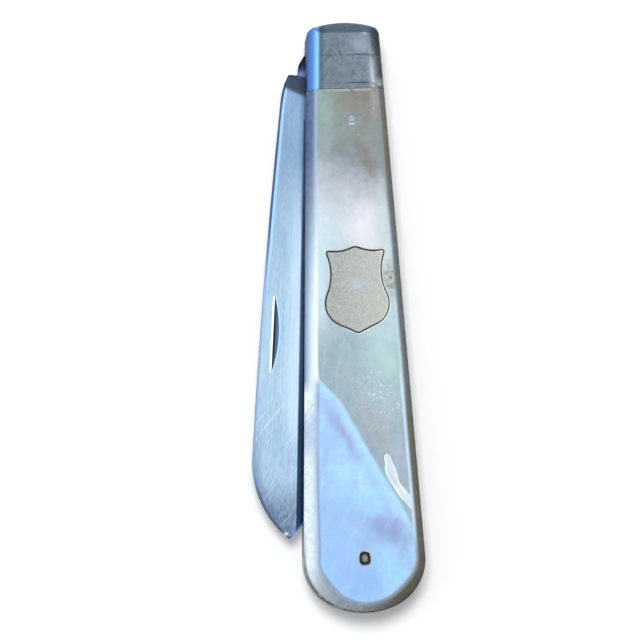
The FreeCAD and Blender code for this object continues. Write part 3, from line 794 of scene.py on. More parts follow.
def border_colours(finish, inner, along, across):
    """The bevel's colours over the inner ones, mostly painted light and shade: on the front side painted
    reflections from blue to white, on the back side painted brown shade.

    Each side goes through an outer, a middle and an inner tone by the border depth, and blends three such
    sets along the handle: by the bolsters, by the shield and by the butt. Both sides turn into one another
    round the butt, where a dark rim of painted shade lies.
    """
    depth = finish.border_depth()

    def side(near, far, *zones):
        bolster, shield, butt = (depth.ramp(*tones) for tones in zones)
        return finish.paint(bolster, (shield, along.step(*near)), (butt, along.step(*far)))

    # Front side: painted reflections, dark blue by the bolsters and white further along
    front = side(
        (24, -3), (-7.5, -10.5),
        [(0, (64, 88, 132)), (0.6, (90, 104, 133)), (1.0, (158, 179, 207))],
        [(0, (114, 144, 178)), (0.6, (206, 227, 238)), (1.0, (240, 251, 253))],
        [(0, (240, 249, 251)), (0.75, (218, 231, 239)), (1.25, (132, 158, 194))])
    # Painted light and shade on the front bevel: a pale blue band below the shield, darker grey at the butt's
    # bottom
    front = finish.paint(
        front,
        ((166, 188, 216), along.step(-11.5, -14.0) * along.step(-19.5, -16.0, 0.0, 0.7)),
        ((128, 131, 130), along.step(-31, -37.5, 0.0, 0.85)))
    # Back side: painted brown shade, with a painted pale highlight on its inner edge
    back = side(
        (20, 10), (-6, -16),
        [(0, (86, 81, 71)), (0.65, (117, 114, 103)), (1.06, (172, 178, 181))],
        [(0, (88, 88, 84)), (0.65, (109, 119, 125)), (1.06, (212, 230, 241))],
        [(0, (80, 78, 66)), (0.78, (110, 109, 94)), (1.1, (208, 228, 243))])
    # Deeper painted brown shade on the back side towards the butt
    back = finish.paint(back, ((82, 76, 60), along.step(-25, -33, 0.0, 0.6)))
    # Back over front across the handle, painted light on the inner bevel at the butt's bottom, clouds of
    # grain, and a dark rim of painted shade towards the butt
    border = finish.paint(
        front,
        (back, across.step(-3.0, 5.0)),
        ((148, 164, 188), along.step(-33, -37) * depth.step(0.5, 1.0) * across.step(4.5, 0.0)),
        ((164, 172, 184), finish.effect(CLOUDS, scale=0.9) * 0.1),
        ((52, 49, 43), depth.step(0.3, 0.08) * along.step(-26, -33, 0.0, 0.9)))
    narrow = along.step(10, 18, 0.0, 0.12)
    low = along.step(-6, -10, 1.02, 1.2) - narrow
    high = along.step(-6, -10, 1.3, 1.45) - narrow
    return finish.mix(depth.step(low, high), border, inner), depth


def front_pearl():
    """Mother of pearl: silver to grey green, a sky blue sector at the butt, a white feather and a stain."""
    finish = Finish("front_pearl", **PEARL_GLOSS)
    x, y, _ = finish.place.apart()
    ripple, place, calm = rippled(finish, 0.45, (2.4, 3.6), (0.2, 0.3))
    across, along, _ = place.apart()
    ground = (across * 0.4 + along).ramp(
        (-38, (162, 180, 200)), (-16, (160, 176, 186)), (-7, (157, 178, 186)), (1, (189, 207, 215)),
        (11, (205, 214, 220)), (17.2, (174, 180, 187)), (20, (136, 143, 147)), (25, (145, 152, 150)),
        (32, (122, 118, 109)))
    ground = finish.patches(
        ground, place,
        ((-3.08, 25.5), (1.5, 4.4), 0, (150, 172, 166), 0.8),
        ((1.62, 27.0), (2.4, 2.6), 0, (137, 132, 124), 0.7),
        ((3.92, 27.4), (0.7, 1.6), 0, (172, 174, 172), 0.5),
        ((2.12, 19.8), (0.9, 3.4), -27, (136, 129, 120), 0.8),
        ((-2.38, 16.2), (1.2, 2.6), -20, (192, 199, 207), 0.5),
        ((1.5, 10.7), (2.3, 4.2), 12, (238, 237, 243), 0.9),
        ((-3.18, 9.8), (1.8, 3.4), 0, (206, 228, 234), 0.85),
        ((4.4, 12.5), (0.8, 4.4), 0, (204, 218, 212), 0.7),
        ((-3.0, 21.0), (1.0, 2.4), 0, (160, 173, 178), 0.6),
        ((-4.08, 2.6), (1.2, 5.0), 0, (208, 230, 238), 0.7),
        ((5.02, -1.5), (1.2, 3.4), 0, (192, 216, 220), 0.5),
        ((-1.78, -5.2), (2.2, 2.4), 0, (158, 178, 184), 0.7),
        ((3.82, -6.4), (1.7, 3.2), -20, (190, 216, 210), 0.8),
        ((1.82, -14.2), (0.8, 5.2), -29, (170, 173, 174), 0.65),
        ((4.52, -19.0), (1.3, 3.2), 0, (180, 194, 212), 0.6))
    grain = finish.effect(CLOUDS, scale=1.2)
    ground = finish.paint(ground, ((104, 120, 116), grain * 0.3), blend="SOFT_LIGHT")
    frost_zone = finish.effect(SOFT_PATCH, centre=(2.7, -10.8, 0), reach=(2.4, 4.2, 1), turn=-0.6)
    flock = finish.effect(CLOUDS, place=finish.place + (3.0, 7.0, 0.0), scale=1.1, low=0.34, high=0.56)
    frost = finish.effect(CLOUDS, scale=3.8, low=0.5, high=0.72) * flock * frost_zone
    ground = finish.paint(ground, ((196, 218, 224), frost_zone * 0.3), ((222, 238, 240), frost))

    calm_across, calm_along, _ = calm.apart()
    inside = calm_along.curve(
        -8, 10, (-38, 9.7), (-27.5, 6.25), (-24.1, 4.7), (-21.2, 3.05), (-19.2, 1.95), (-14.1, -0.7),
        (-11.4, -2.15), (-8.1, -5.1), (-4, -8)) - calm_across
    sky = inside.ramp(
        (0, (170, 212, 244)), (0.5, (184, 228, 254)), (1.1, (178, 220, 252)), (2.1, (165, 194, 240)),
        (3.2, (167, 206, 248)), (5.5, (168, 212, 251)), (10, (158, 199, 247)), (14, (162, 203, 249)))
    sky = finish.patches(
        sky, place,
        ((-1.8, -15.6), (0.75, 3.4), -27, (150, 162, 202), 0.85),
        ((-2.9, -13.2), (0.9, 1.2), -20, (152, 170, 210), 0.8),
        ((-4.4, -18.2), (0.7, 2.6), 0, (156, 186, 232), 0.7),
        ((-1.78, -20.4), (2.6, 2.2), 0, (174, 223, 253), 0.8),
        ((2.42, -23.6), (1.8, 1.6), 20, (173, 222, 253), 0.75),
        ((-3.98, -26.0), (2.2, 3.4), 0, (158, 194, 245), 0.75),
        ((1.4, -26.6), (3.0, 1.1), 12, (156, 170, 212), 0.8),
        ((3.2, -28.2), (2.6, 1.4), 8, (140, 155, 192), 0.95),
        ((0.3, -29.4), (1.3, 0.9), 0, (158, 182, 218), 0.6),
        ((-2.18, -33.0), (2.6, 2.2), 0, (153, 194, 246), 0.8),
        ((3.82, -32.6), (2.4, 2.0), 40, (165, 218, 252), 0.7),
        ((0.0, -34.4), (1.8, 2.0), 0, (146, 186, 236), 0.8),
        ((5.0, -29.2), (1.4, 1.0), -10, (150, 167, 204), 0.8),
        ((0.2, -21.6), (1.7, 2.6), -20, (178, 227, 254), 0.8))
    fan = finish.effect(HAIRLINES, place=place, turn=0.5, across=1.1, along=0.12, low=0.35, high=0.75)
    wisps = finish.effect(CLOUDS, place=place + (9.0, 4.0, 0.0), scale=0.55, low=0.5, high=0.72)
    sky = finish.paint(
        sky,
        ((178, 224, 254), fan * 0.25),
        ((140, 172, 228), grain * 0.24),
        ((166, 180, 224), wisps * 0.5))

    middle = y.curve(
        2, 7, (-26, 6.75), (-25.2, 6.27), (-24.4, 5.85), (-23.2, 5.13), (-21.9, 4.28), (-20.6, 3.78),
        (-19.3, 3.45), (-17, 3.15))
    wide = y.curve(
        0, 1, (-26, 0), (-25.4, 0.2), (-24.4, 0.5), (-23.2, 0.74), (-21.9, 0.68), (-20.6, 0.84),
        (-19.3, 0.6), (-18.3, 0.42), (-17.9, 0.0), (-17, 0))
    inward = wide - (x + (ripple * 0.6 - 0.3) - middle).work("ABSOLUTE")
    vein = finish.effect(HAIRLINES, turn=-0.42, across=2.2, along=0.2, low=0.4, high=0.62)
    feather = finish.mix(vein * 0.6, (240, 250, 251), (184, 204, 214))
    colour = finish.paint(
        ground,
        (sky, inside.step(-0.22, 0.34)),
        (feather, inward.step(0.0, 0.12)),
        ((178, 196, 206), inward.step(0.2, 0.36) * y.step(-22.6, -21.6, 0.0, 0.45)))
    colour, roughness = pearl_sheen(
        finish, colour, place, turn=0.1, across=0.9, lines=0.15, scale=0.22, hues=0.16)
    chips = finish.effect(CLOUDS, scale=1.1, low=0.4, high=0.6)
    flakes = finish.effect(SPECKS, scale=0.9, size=0.22, share=0.35)
    colour = finish.paint(
        colour,
        ((200, 198, 192), chips * y.step(28.5, 28.85) * 0.45),
        ((228, 230, 230), flakes * y.step(13, 17, 0.0, 0.5)),
        ((100, 112, 122), 0.06))

    colour, depth = border_colours(finish, colour, along, x)
    stain_zone = finish.effect(SOFT_PATCH, place=calm, centre=(4.65, 4.3, 0), reach=(1.0, 1.9, 1))
    stain = finish.effect(CLOUDS, scale=1.7, low=0.35, high=0.65) * 0.7 + 0.2
    colour = finish.paint(colour, ((122, 120, 74), stain * stain_zone))
    # A painted highlight on the pearl just below the scale pin
    colour = finish.patches(colour, finish.place, ((0.55, 24.46), (0.36, 0.13), 0, (238, 240, 242), 0.9))
    in_front = x.work("LESS_THAN", 0.0)
    strokes = finish.effect(HAIRLINES, turn=0.9, across=1.5, along=0.16, low=0.5, high=0.62)
    torn = depth.step(1.15, 0.95) * y.step(-17.5, -14.5) * y.step(-8.0, -10.5) * in_front
    rough_side = depth.step(1.4, 1.0) * in_front
    scuffs = finish.effect(CLOUDS, scale=1.6, low=0.42, high=0.66)
    pits = finish.effect(SPECKS, scale=2.6, size=0.32, share=0.35)
    colour = finish.paint(
        colour,
        ((158, 176, 204), strokes * torn * 0.5),
        ((176, 190, 206), scuffs * rough_side * y.step(-16.0, -20.0, 0.0, 0.45)),
        ((150, 146, 136), pits * rough_side * 0.5))
    relief = ripple * 0.8 - pits * 0.15
    return finish.end(colour, roughness, relief, lift=0.05, strength=0.6, veil=PEARL_VEIL)


def rear_pearl():
    """Mother of pearl for the other side: silver and pale green bands with a slow rainbow."""
    finish = Finish("rear_pearl", **PEARL_GLOSS)
    x, _, _ = finish.place.apart()
    ripple, place = rippled(finish, 0.4, (3.0, 5.0))
    _, along, _ = place.apart()
    ground = along.ramp(
        (-38, (186, 206, 224)), (-26, (168, 192, 206)), (-12, (196, 212, 220)), (2, (176, 194, 196)),
        (14, (208, 214, 222)), (22, (166, 174, 176)), (29, (150, 152, 146)))
    colour, roughness = pearl_sheen(
        finish, ground, place, turn=0.25, across=0.8, lines=0.3, scale=0.2, hues=0.3)
    colour, depth = border_colours(finish, colour, along, x)
    # The rim painted dark as shade, so that it reads as a dark line along the edge
    colour = finish.paint(colour, ((66, 63, 58), depth.step(0.7, 0.2, 0.0, 0.75)))
    return finish.end(colour, roughness, ripple, lift=0.05, strength=0.6, veil=PEARL_VEIL)


def pearl_rim():
    """The cut border of the pearl's holes: painted white as a highlight where it faces the light, towards the
    butt and the back, and grey as shade on the other side.
    """
    finish = Finish("pearl_rim")
    x, y, _ = finish.place.apart()
    grain = finish.effect(CLOUDS, scale=2.0)
    chip = finish.effect(CLOUDS, scale=1.3, low=0.42, high=0.6) * y.step(-31.4, -30.7)
    worn = finish.mix(chip, (128, 146, 168), (232, 236, 232))
    # Painted light and shade round the shield's bed and the pin's hole: grey away from the light, white
    # facing it
    painted_rim_light = finish.mix((x * 0.8 - y * 0.5).step(-2.5, 2.0), (140, 152, 158), (246, 248, 246))
    colour = finish.paint(worn, (painted_rim_light, y.step(-20, -19)), ((176, 186, 186), grain * 0.3))
    return finish.end(colour, 0.3, grain, lift=0.02)


def seam_dirt_and_shade():
    """Dark dirt and painted shade in the gaps round the shield and the pins."""
    finish = Finish("seam_dirt_and_shade")
    grain = finish.effect(CLOUDS, scale=4.0)
    return finish.end(finish.mix(grain, (26, 30, 32), (56, 56, 50)), 0.8, grain, lift=0.02)


def blade_metal():
    """Worn silver: pale blue grey, brushed and scratched, with painted shade on the tang, the ground edge and
    in the nick, and painted highlights and reflections along the spine, the bevel line, the point and the
    nick's rims.

    Reach is the distance from the pivot towards the point.
    """
    finish = Finish("blade_metal", Metallic=1.0)
    finish.place = place = (finish.place - (*PIVOT, MIDDLE_Z)).turned(REST_ANGLE)
    across, along, height = place.apart()
    reach = along * -1.0
    silver = reach.ramp(
        (0, (118, 143, 178)), (10, (122, 149, 180)), (19, (147, 174, 196)), (40, (167, 194, 213)),
        (46, (152, 180, 201)), (52, (152, 179, 202)), (56.5, (66, 86, 116)), (62, (74, 94, 124)))
    clouds = finish.effect(CLOUDS, place=place * (1.0, 0.3, 1.0), scale=0.45)
    lines = finish.effect(HAIRLINES, across=4.5, along=0.25)
    fine = finish.effect(HAIRLINES, turn=0.06, across=9.0, along=1.1)
    slant = finish.effect(HAIRLINES, turn=0.62, across=4.2, along=0.09, low=0.6, high=0.7)
    steep = finish.effect(HAIRLINES, turn=0.3, across=4.0, along=0.12, low=0.66, high=0.75)
    cuts = slant.work("MAXIMUM", steep) * reach.step(32, 40, 0.05, 0.34)
    pits = finish.effect(SPECKS, scale=1.5, size=0.17, share=0.3)
    # glints: painted highlights, kept to a zone near the point
    glints = finish.effect(SPECKS, place=place * (1.6, 0.6, 1.0), scale=1.6, size=0.45, share=0.4)
    glint_zone = finish.effect(SOFT_PATCH, centre=(-3.6, -56.0, 0), reach=(1.6, 2.6, 1))
    colour = finish.paint(
        silver,
        ((136, 170, 204), clouds * 0.35),
        ((104, 134, 166), lines * 0.26),
        ((198, 220, 234), fine * reach.step(8, 36, 0.14, 0.32)),
        ((222, 238, 246), cuts),
        ((70, 84, 110), pits * 0.6),
        ((206, 224, 236), glints * glint_zone * 0.3))

    spine = reach.curve(
        -9, -2, (-1, -5.6), (3.2, -6.55), (10, -6.89), (18, -7.23), (26.4, -7.5), (34, -7.7), (42, -7.83),
        (49.6, -7.9), (52, -7.66), (54, -7.08), (56, -6.09), (58, -4.6), (60, -2.4))
    from_spine = (across - spine) * reach.step(49, 60, 1.0, 0.5)
    # The broken edge painted as a reflection: dark at both ends, pale blue mid blade; the wall painted dark
    # as shade
    broken = reach.ramp(
        (0, (56, 82, 122)), (20, (66, 94, 132)), (29, (142, 176, 214)), (36, (140, 174, 206)),
        (46, (132, 164, 198)), (51, (118, 146, 180)), (54, (82, 100, 136)), (60, (96, 114, 146)))
    wall = reach.ramp(
        (0, (30, 46, 70)), (14, (32, 50, 76)), (26, (52, 72, 98)), (44, (70, 92, 118)), (53, (48, 62, 86)),
        (60, (44, 56, 78)))
    # A dark band of painted shade beside the spine near the point, and a pale blue painted reflection towards
    # the tang
    colour = finish.paint(
        colour,
        ((86, 104, 140), from_spine.step(1.6, 0.1) * reach.step(42, 54, 0.0, 0.6)),
        ((164, 206, 244), from_spine.step(0.75, 0.55) * reach.step(30, 22, 0.0, 0.75)),
        (broken, from_spine.step(0.36, 0.24)),
        (wall, from_spine.step(0.05, 0.0)))

    plunge = reach - (across * TANG_LEAN + TANG_EDGE)
    tang = plunge.step(0.6, -0.25)
    # worn: the tang painted dark as shade from the bolster, lighter towards its spine edge
    worn = (clouds * 0.8 + across).ramp(
        (-7, (92, 112, 144)), (-6.2, (84, 102, 132)), (-5.6, (54, 63, 80)), (-4.4, (58, 68, 85)),
        (-3.4, (48, 57, 75)), (-2, (36, 44, 63)))
    # The knuckle painted as shading: dark on top and lit blue below
    knuckle_shading = reach.ramp(
        (-3, (34, 37, 54)), (-1.4, (44, 48, 72)), (-0.9, (62, 76, 118)), (-0.4, (106, 128, 182)),
        (0.2, (92, 112, 158)))
    above = reach.step(0.1, -0.05)
    # The ground strip beside the handle painted dark navy, as shade and the dark reflection of the handle's
    # side
    strip = reach.ramp(
        (0, (70, 90, 132)), (9, (64, 86, 124)), (20, (62, 84, 118)), (36, (60, 80, 114)), (42, (40, 60, 94)),
        (46, (24, 44, 78)), (56, (24, 46, 84)), (60, (34, 60, 106)))
    off_line = across - ((reach - BEVEL_LINE_START) * BEVEL_LINE_RISE + BEVEL_LINE_AT)
    low, high = reach.step(4, 26, -0.7, -0.06), reach.step(4, 26, 0.7, 0.1)
    ground = off_line.step(low, high) * plunge.step(-0.2, 0.3)
    # Painted highlights: a pale line along the belly's edge, a glint at the tip and a pale band beside the
    # bevel line; the point's very end painted dark as shade
    point = place.off(POINT_CENTRE).step(POINT_RADIUS, POINT_RADIUS + 0.18)
    tip_glint = finish.effect(SOFT_PATCH, centre=(-3.2, -59.1, 0), reach=(0.28, 0.2, 1))
    end = finish.effect(SOFT_PATCH, centre=(-2.6, -59.65, 0), reach=(0.4, 0.16, 1))
    painted_bevel_highlight = off_line.step(-2.4, -0.2) * ground.step(0.5, 0.0) * reach.step(10, 24) * reach.step(50, 44)
    colour = finish.paint(
        colour,
        # The tang's painted shade
        (worn, tang * 0.94),
        # A thin line of painted shade along the shoulder, and the knuckle's rim painted dark as shade
        ((36, 42, 58), reach.step(0.24, 0.1) * across.step(-4.5, -4.8, 0.0, 0.8)),
        (knuckle_shading, above),
        ((24, 25, 38), above * place.off((0, 0, 0)).step(4.3, 4.6)),
        # The ground strip's painted shade and reflection
        (strip, ground * 0.94),
        # Painted highlights at the point and beside the bevel line, and painted shade at the point's end
        ((132, 160, 196), point * reach.step(56.2, 57.2, 0.0, 0.85)),
        ((224, 238, 244), tip_glint * 1.3),
        ((52, 62, 80), end * 0.8),
        ((206, 228, 246), painted_bevel_highlight * 0.45))

    share = (reach - NICK_MIDDLE) / NICK_HALF
    bow = (share * share).rest()
    into = across + NICK_LINE
    past = bow * NICK_DEPTH - into
    in_front = height.work("GREATER_THAN", 0.1)
    # The nick's hollow painted dark as shade, with a painted white highlight on its rim by the spine and a
    # painted pale blue highlight along its far border
    hollow = into.ramp(
        (0, (50, 54, 64)), (0.3, (72, 86, 108)), (0.55, (74, 104, 146)), (0.77, (94, 126, 170)))
    white = into.step(-0.3, -0.18) * into.step(0.04, -0.02) * bow.step(0.0, 0.12)
    pale = past.step(-0.2, -0.1) * past.step(0.02, -0.02) * bow.step(0.0, 0.12, 0.0, 0.75)
    colour = finish.paint(
        colour,
        (hollow, into.step(-0.01, 0.03) * past.step(-0.01, 0.03) * in_front),
        ((252, 253, 253), white * in_front),
        ((176, 222, 252), pale * in_front))
    roughness = lines * 0.1 + tang * 0.15 + 0.3
    relief = lines * 0.4 + fine + cuts * 0.6
    return finish.end(colour, roughness, relief, lift=0.004, strength=0.5)


def bolster_metal():
    """Lead grey worn silver: mottled and scratched, bright blue on its front bevel as a painted reflection,
    with painted shade on its back bevel, end facet and cut lines, and painted highlights along its back edge.
    """
    finish = Finish("bolster_metal", Metallic=1.0)
    x, y, _ = finish.place.apart()
    sideways, onwards = SIDE_NORMAL.tolist()
    lengthwise = y * -onwards + float(SIDE_HIGH @ SIDE_NORMAL)
    back_depth = lengthwise - x * sideways
    front_depth = lengthwise + x * sideways
    mottle = finish.effect(CLOUDS, scale=1.6, low=0.32, high=0.68)
    blotch = finish.effect(CLOUDS, scale=0.5, low=0.35)
    colour = finish.paint((94, 108, 119), ((118, 133, 146), mottle), ((104, 116, 118), blotch * 0.35))
    # Painted shading over the top: lighter towards the upper right, darker at the lower left, and a small
    # painted highlight near the end's right corner, among dark marks
    colour = finish.patches(
        colour, finish.place,
        ((2.2, 34.8), (1.3, 1.2), 0, (142, 156, 170), 0.75),
        ((2.75, 36.25), (0.25, 0.18), 0, (196, 208, 216), 0.8),
        ((-1.9, 33.6), (0.5, 0.6), 0, (84, 96, 102), 0.7),
        ((-0.5, 33.7), (0.12, 0.8), -16, (66, 76, 80), 0.75),
        ((-0.9, 34.9), (0.5, 0.14), -20, (78, 88, 92), 0.6),
        ((1.0, 31.2), (0.25, 0.35), 0, (76, 88, 94), 0.7),
        ((-1.4, 30.6), (1.8, 1.3), 0, (100, 113, 119), 0.5))
    lines = finish.effect(HAIRLINES, turn=0.5, across=4.0, along=0.6, low=0.4)
    specks = finish.effect(SPECKS, scale=2.8, size=0.34, share=0.4)
    colour = finish.paint(colour, ((176, 188, 196), lines * 0.07), ((62, 74, 80), specks * 0.3))
    # The two cut lines and the end facet's edge painted darker, as shade in the grooves
    kept = x.step(-0.6, 1.8, 0.25, 0.8)
    for line, width in ((33.45, 0.14), (29.78, 0.12), (36.45, 0.12)):
        colour = finish.paint(colour, ((58, 68, 74), (y - line).work("ABSOLUTE").step(width, 0.03) * kept))
    sparks = finish.effect(SPECKS, place=finish.place + (5.1, 2.7, 0), scale=3.1, size=0.3, share=0.35)
    # The back bevel painted dark as shade, darkest at its rim
    back_bevel_shade = back_depth.ramp(
        (0, (52, 51, 48)), (0.4, (68, 70, 70)), (0.8, (92, 98, 101)), (1.4, (118, 130, 138)),
        (2.0, (116, 128, 138)))
    colour = finish.paint(
        colour,
        ((164, 178, 184), sparks * 0.4),
        # The end facet painted bluer and its far rim darker, as shading
        ((100, 116, 136), y.step(35.8, 36.7, 0.0, 0.55)),
        ((60, 66, 76), y.step(37.55, 37.9, 0.0, 0.6)),
        (back_bevel_shade, back_depth.step(1.6, 0.5, 0.0, 0.94)))
    # Painted highlights along the back edge, brightest near the junction
    colour = finish.patches(
        colour, finish.place,
        ((3.75, 31.4), (0.55, 2.3), 0, (206, 216, 220), 0.75),
        ((4.15, 29.8), (0.55, 0.6), 0, (236, 241, 243), 0.85))
    # The front bevel painted as a reflection of the blue window: darker blue where it meets the top, bright
    # blue across it
    bevel = front_depth.ramp(
        (0, (48, 76, 126)), (0.35, (70, 108, 170)), (0.8, (80, 124, 186)), (1.15, (112, 170, 222)),
        (1.45, (140, 198, 238)), (1.9, (100, 134, 164)))
    colour = finish.paint(
        colour,
        ((62, 84, 114), front_depth.step(2.5, 1.9, 0.0, 0.55)),
        (bevel, front_depth.step(1.85, 1.35, 0.0, 0.92)))
    return finish.end(colour, mottle * 0.12 + 0.3, mottle + lines * 0.3, lift=0.006, strength=0.5)


def shield_metal(name="shield_metal", tint=(171, 173, 171)):
    """Warm grey satin metal: speckled, with a worn pale spot round the rivet and a painted highlight along
    its back edge.
    """
    finish = Finish(name, Metallic=0.85)
    x, _, _ = finish.place.apart()
    grain = finish.effect(CLOUDS, scale=3.2)
    specks = finish.effect(SPECKS, scale=4.4, size=0.4, share=0.5)
    light = finish.effect(SPECKS, place=finish.place + (7.3, 3.1, 0), scale=4.8, size=0.36, share=0.45)
    spot = finish.effect(SOFT_PATCH, centre=(*SHIELD_RIVET, 0), reach=(0.85, 0.7, 1))
    wear = finish.effect(CLOUDS, scale=1.4, high=0.55)
    # shine: a painted highlight along the back edge
    shine = finish.border_depth().step(0.5, 0.08) * x.step(2.6, 3.4, 0.0, 0.8)
    colour = finish.paint(
        tint,
        (tuple(value - 18 for value in tint), grain),
        ((198, 200, 190), x.step(-3.0, 3.5, 0.0, 0.42)),
        ((112, 112, 104), specks * 0.6),
        ((206, 204, 198), light * 0.5),
        ((172, 192, 202), spot * wear * 0.8),
        ((248, 248, 244), shine))
    return finish.end(colour, grain * 0.1 + 0.42, grain, lift=0.012, strength=0.6)


def pin_metal(name, light, dark, ring):
    """A pin's end polished by wear, darker round its rim."""
    finish = Finish(name, Metallic=1.0)
    grain = finish.effect(CLOUDS, scale=2.6)
    colour = finish.paint(light, (dark, grain), (ring, finish.border_depth().step(0.16, 0.06, 0.0, 0.8)))
    return finish.end(colour, grain * 0.1 + 0.3, grain, lift=0.01, strength=0.5)


def plain_metal(name, light, dark, stain):
    """Dull old metal: fine lines, clouds and stains between a light and a dark tone."""
    finish = Finish(name, Metallic=1.0)
    clouds = finish.effect(CLOUDS, scale=0.6)
    lines = finish.effect(HAIRLINES)
    spots = finish.effect(SPECKS, scale=1.1, size=0.5, share=0.35)
    colour = finish.paint(light, (dark, clouds), (light, lines * 0.3), (stain, spots * 0.5))
    return finish.end(colour, clouds * 0.15 + 0.35, lines, lift=0.006, strength=0.5)


FRONT_PEARL = front_pearl()
REAR_PEARL = rear_pearl()
PEARL_RIM = pearl_rim()
SEAM_DIRT_AND_SHADE = seam_dirt_and_shade()
BLADE_METAL = blade_metal()
BOLSTER_METAL = bolster_metal()
SHIELD_METAL = shield_metal()
RIVET_METAL = shield_metal("rivet_metal", (176, 184, 186))
PIN_METAL = pin_metal("pin_metal", (160, 167, 177), (138, 146, 158), (112, 124, 142))
DULL_PIN = pin_metal("dull_pin", (128, 134, 136), (92, 98, 100), (58, 60, 62))
LINER_METAL = plain_metal("liner_metal", (104, 100, 90), (70, 66, 58), (48, 42, 34))
SPRING_STEEL = plain_metal("spring_steel", (138, 142, 148), (90, 94, 100), (62, 55, 46))

for node, material in (("blade", BLADE_METAL), ("back_spring", SPRING_STEEL), ("front_liner", LINER_METAL),
                       ("rear_liner", LINER_METAL), ("spring_pin", PIN_METAL)):
    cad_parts[node].material_slots[0].material = material


# Pieces

def hole_rim(flare, drop, floor):
    """A hole's profile: from the face, outside its border by a flare, over a drop and down to its floor."""
    return np.array([(-flare, FRONT_Z), (0.0, FRONT_Z - drop), (0.0, FRONT_Z - floor)])


pin_hole = (circle_path(SCALE_PIN, SCALE_PIN_HOLE), hole_rim(flare=0.03, drop=0.03, floor=0.3))
worn_hole = (box_path(BUTT_PIN, BUTT_HOLE_SIZE, corner=0.6), hole_rim(flare=0.14, drop=0.1, floor=0.45))
shield_bed = (shield_path(SHIELD_BED_GAP), hole_rim(flare=0.07, drop=0.04, floor=0.4))

pearl_shell([pin_hole, worn_hole, shield_bed]).make(
    "front_scale_pearl", "handle", "front_pearl", ["front_scale"], [FRONT_PEARL, SEAM_DIRT_AND_SHADE, PEARL_RIM])
pearl_shell([pin_hole, worn_hole]).make(
    "rear_scale_pearl", "handle", "rear_pearl", ["rear_scale"], [REAR_PEARL, SEAM_DIRT_AND_SHADE, PEARL_RIM],
    turned=True)
bolster_shell(wear=1.0).make(
    "front_bolster_cap", "handle", "bolster_metal", ["front_bolster"], [BOLSTER_METAL])
bolster_shell(wear=0.5).make(
    "rear_bolster_cap", "handle", "bolster_metal", ["rear_bolster"], [BOLSTER_METAL], turned=True)
shield_shell().make(
    "shield_plate", "handle", "shield_metal", ["shield"], [SHIELD_METAL, SEAM_DIRT_AND_SHADE, SHIELD_METAL])
rivet = circle_path(SHIELD_RIVET, SHIELD_RIVET_RADIUS)
pin_shell(rivet, SHIELD_RIVET_RADIUS, SCALE_FOOT_Z, FRONT_Z - 0.005, crown=0.015).make(
    "shield_rivet_head", "handle", "rivet_metal", ["shield_rivet"], [RIVET_METAL])
for side, turned in (("front", False), ("rear", True)):
    pin = circle_path(SCALE_PIN, SCALE_PIN_RADIUS)
    pin_shell(pin, SCALE_PIN_RADIUS, SCALE_FOOT_Z, FRONT_Z, crown=0.04).make(
        f"{side}_scale_pin_head", "handle", "pin_metal", [f"{side}_scale_pin"], [PIN_METAL], turned=turned)
pin = box_path(BUTT_PIN, BUTT_RIVET_SIZE, corner=0.85)
pin_shell(pin, BUTT_RIVET_SIZE[0], 0.15, FRONT_Z - 0.15, crown=0.06, both_ends=True).make(
    "butt_pin_rivet", "handle", "pin_metal", ["butt_pin"], [DULL_PIN])
pin = circle_path(PIVOT, PIVOT_RADIUS)
pin_shell(pin, PIVOT_RADIUS, 0.12, FRONT_Z - 0.12, crown=0.02, both_ends=True).make(
    "pivot_pin_rivet", "handle", "bolster_metal", ["pivot_pin"], [BOLSTER_METAL])


# Stage, light and camera

def looking(place, back, roll=0.0):
    """The matrix of a lamp or camera at a place in metres that looks against back and is rolled about it."""
    back = back / np.linalg.norm(back)
    level = np.cross((0.0, 1.0, 0.0), back)
    level /= np.linalg.norm(level)
    upward = np.cross(back, level)
    right = math.cos(roll) * level + math.sin(roll) * upward
    up = math.cos(roll) * upward - math.sin(roll) * level
    rows = [[*row, at] for row, at in zip(np.stack([right, up, back], axis=1), place)]
    return Matrix([*rows, [0, 0, 0, 1]])


def lamp(name, place, aim, size, brightness, colour, **seen):
    """A soft box at a place in metres that looks at its aim; brightness is what a mirror shows of it.

    seen turns off kinds of rays that the lamp isn't for.
    """
    light = bpy.data.lights.new(name, "AREA")
    light.shape = "RECTANGLE"
    light.size, light.size_y = size
    light.energy = brightness * math.pi * size[0] * size[1]
    light.color = colour
    box = bpy.data.objects.new(name, light)
    place = np.array(place, float)
    box.matrix_world = looking(place, place - aim)
    box.visible_camera = False
    for kind, state in seen.items():
        setattr(box, kind, state)
    bpy.context.scene.collection.objects.link(box)


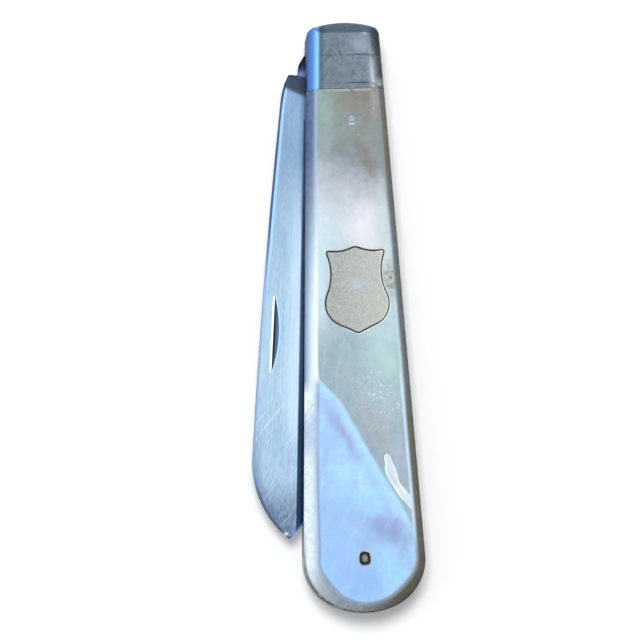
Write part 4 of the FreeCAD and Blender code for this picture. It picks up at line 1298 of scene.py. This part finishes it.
def white_floor():
    """A large pale floor just under the knife, lifted to white where the camera or a reflection sees it."""
    mesh = bpy.data.meshes.new("floor")
    corners = [(x * FLOOR_HALF, y * FLOOR_HALF, FLOOR_Z) for x, y in ((-1, -1), (1, -1), (1, 1), (-1, 1))]
    mesh.from_pydata(corners, [], [(0, 1, 2, 3)])
    floor = bpy.data.objects.new("floor", mesh)
    bpy.context.scene.collection.objects.link(floor)
    finish = Finish("floor_white", Base_Color=shade((252, 252, 252)), Roughness=0.9, Specular_IOR_Level=0.0)
    rays = finish.node("ShaderNodeLightPath").outputs
    seen = Value(finish, rays["Is Camera Ray"])
    for kind in ("Is Glossy Ray", "Is Transmission Ray"):
        seen = seen.work("MAXIMUM", rays[kind])
    glow = finish.node("ShaderNodeEmission", {"Color": (1, 1, 1, 1), "Strength": 1.0})
    both = finish.node("ShaderNodeMixShader", {
        0: seen * FLOOR_GLOW, 1: finish.shader.outputs[0], 2: glow.outputs[0]})
    finish.feed(finish.tree.nodes["Material Output"].inputs["Surface"], both.outputs[0])
    mesh.materials.append(finish.material)


white_floor()
lamp("window", (-0.6, 0.1, 0.16), (0, 0, 0), (0.3, 0.9), 1.5, (0.85, 0.93, 1.0))
lamp("ceiling", (*OVERHEAD[:2], 0.6), OVERHEAD, (1.7, 2.0), 0.28, SOFT_WHITE)
lamp("sheen", (*OVERHEAD[:2], 0.57), OVERHEAD, (1.7, 2.0), 0.8, SOFT_WHITE, visible_diffuse=False)
lamp("key", (-0.06, 0.14, 0.62), (0, 0, 0), (0.2, 0.2), 21.0, (1.0, 1.0, 1.0), visible_glossy=False)
lamp("strip", (0.42, 0.05, 0.42), (0, 0, 0), (0.06, 0.6), 1.0, (0.95, 0.98, 1.0), visible_diffuse=False)

world = bpy.data.worlds.new("studio")
bpy.context.scene.world = world
world.use_nodes = True
background = world.node_tree.nodes["Background"].inputs
background["Color"].default_value = (0.72, 0.74, 0.78, 1)
background["Strength"].default_value = 0.42

camera_data = bpy.data.cameras.new("camera")
camera_data.sensor_fit = "HORIZONTAL"
camera_data.sensor_width = 36.0
camera_data.lens = CAMERA_LENS
camera_data.clip_start = 0.01
camera = bpy.data.objects.new("camera", camera_data)
camera_back = np.array([*CAMERA_LEAN, 1.0]) / np.linalg.norm([*CAMERA_LEAN, 1.0])
camera.matrix_world = looking((CAMERA_AIM + CAMERA_DISTANCE * camera_back) * MM, camera_back, CAMERA_ROLL)
bpy.context.scene.collection.objects.link(camera)
bpy.context.scene.camera = camera
bpy.context.scene.view_settings.view_transform = "Standard"
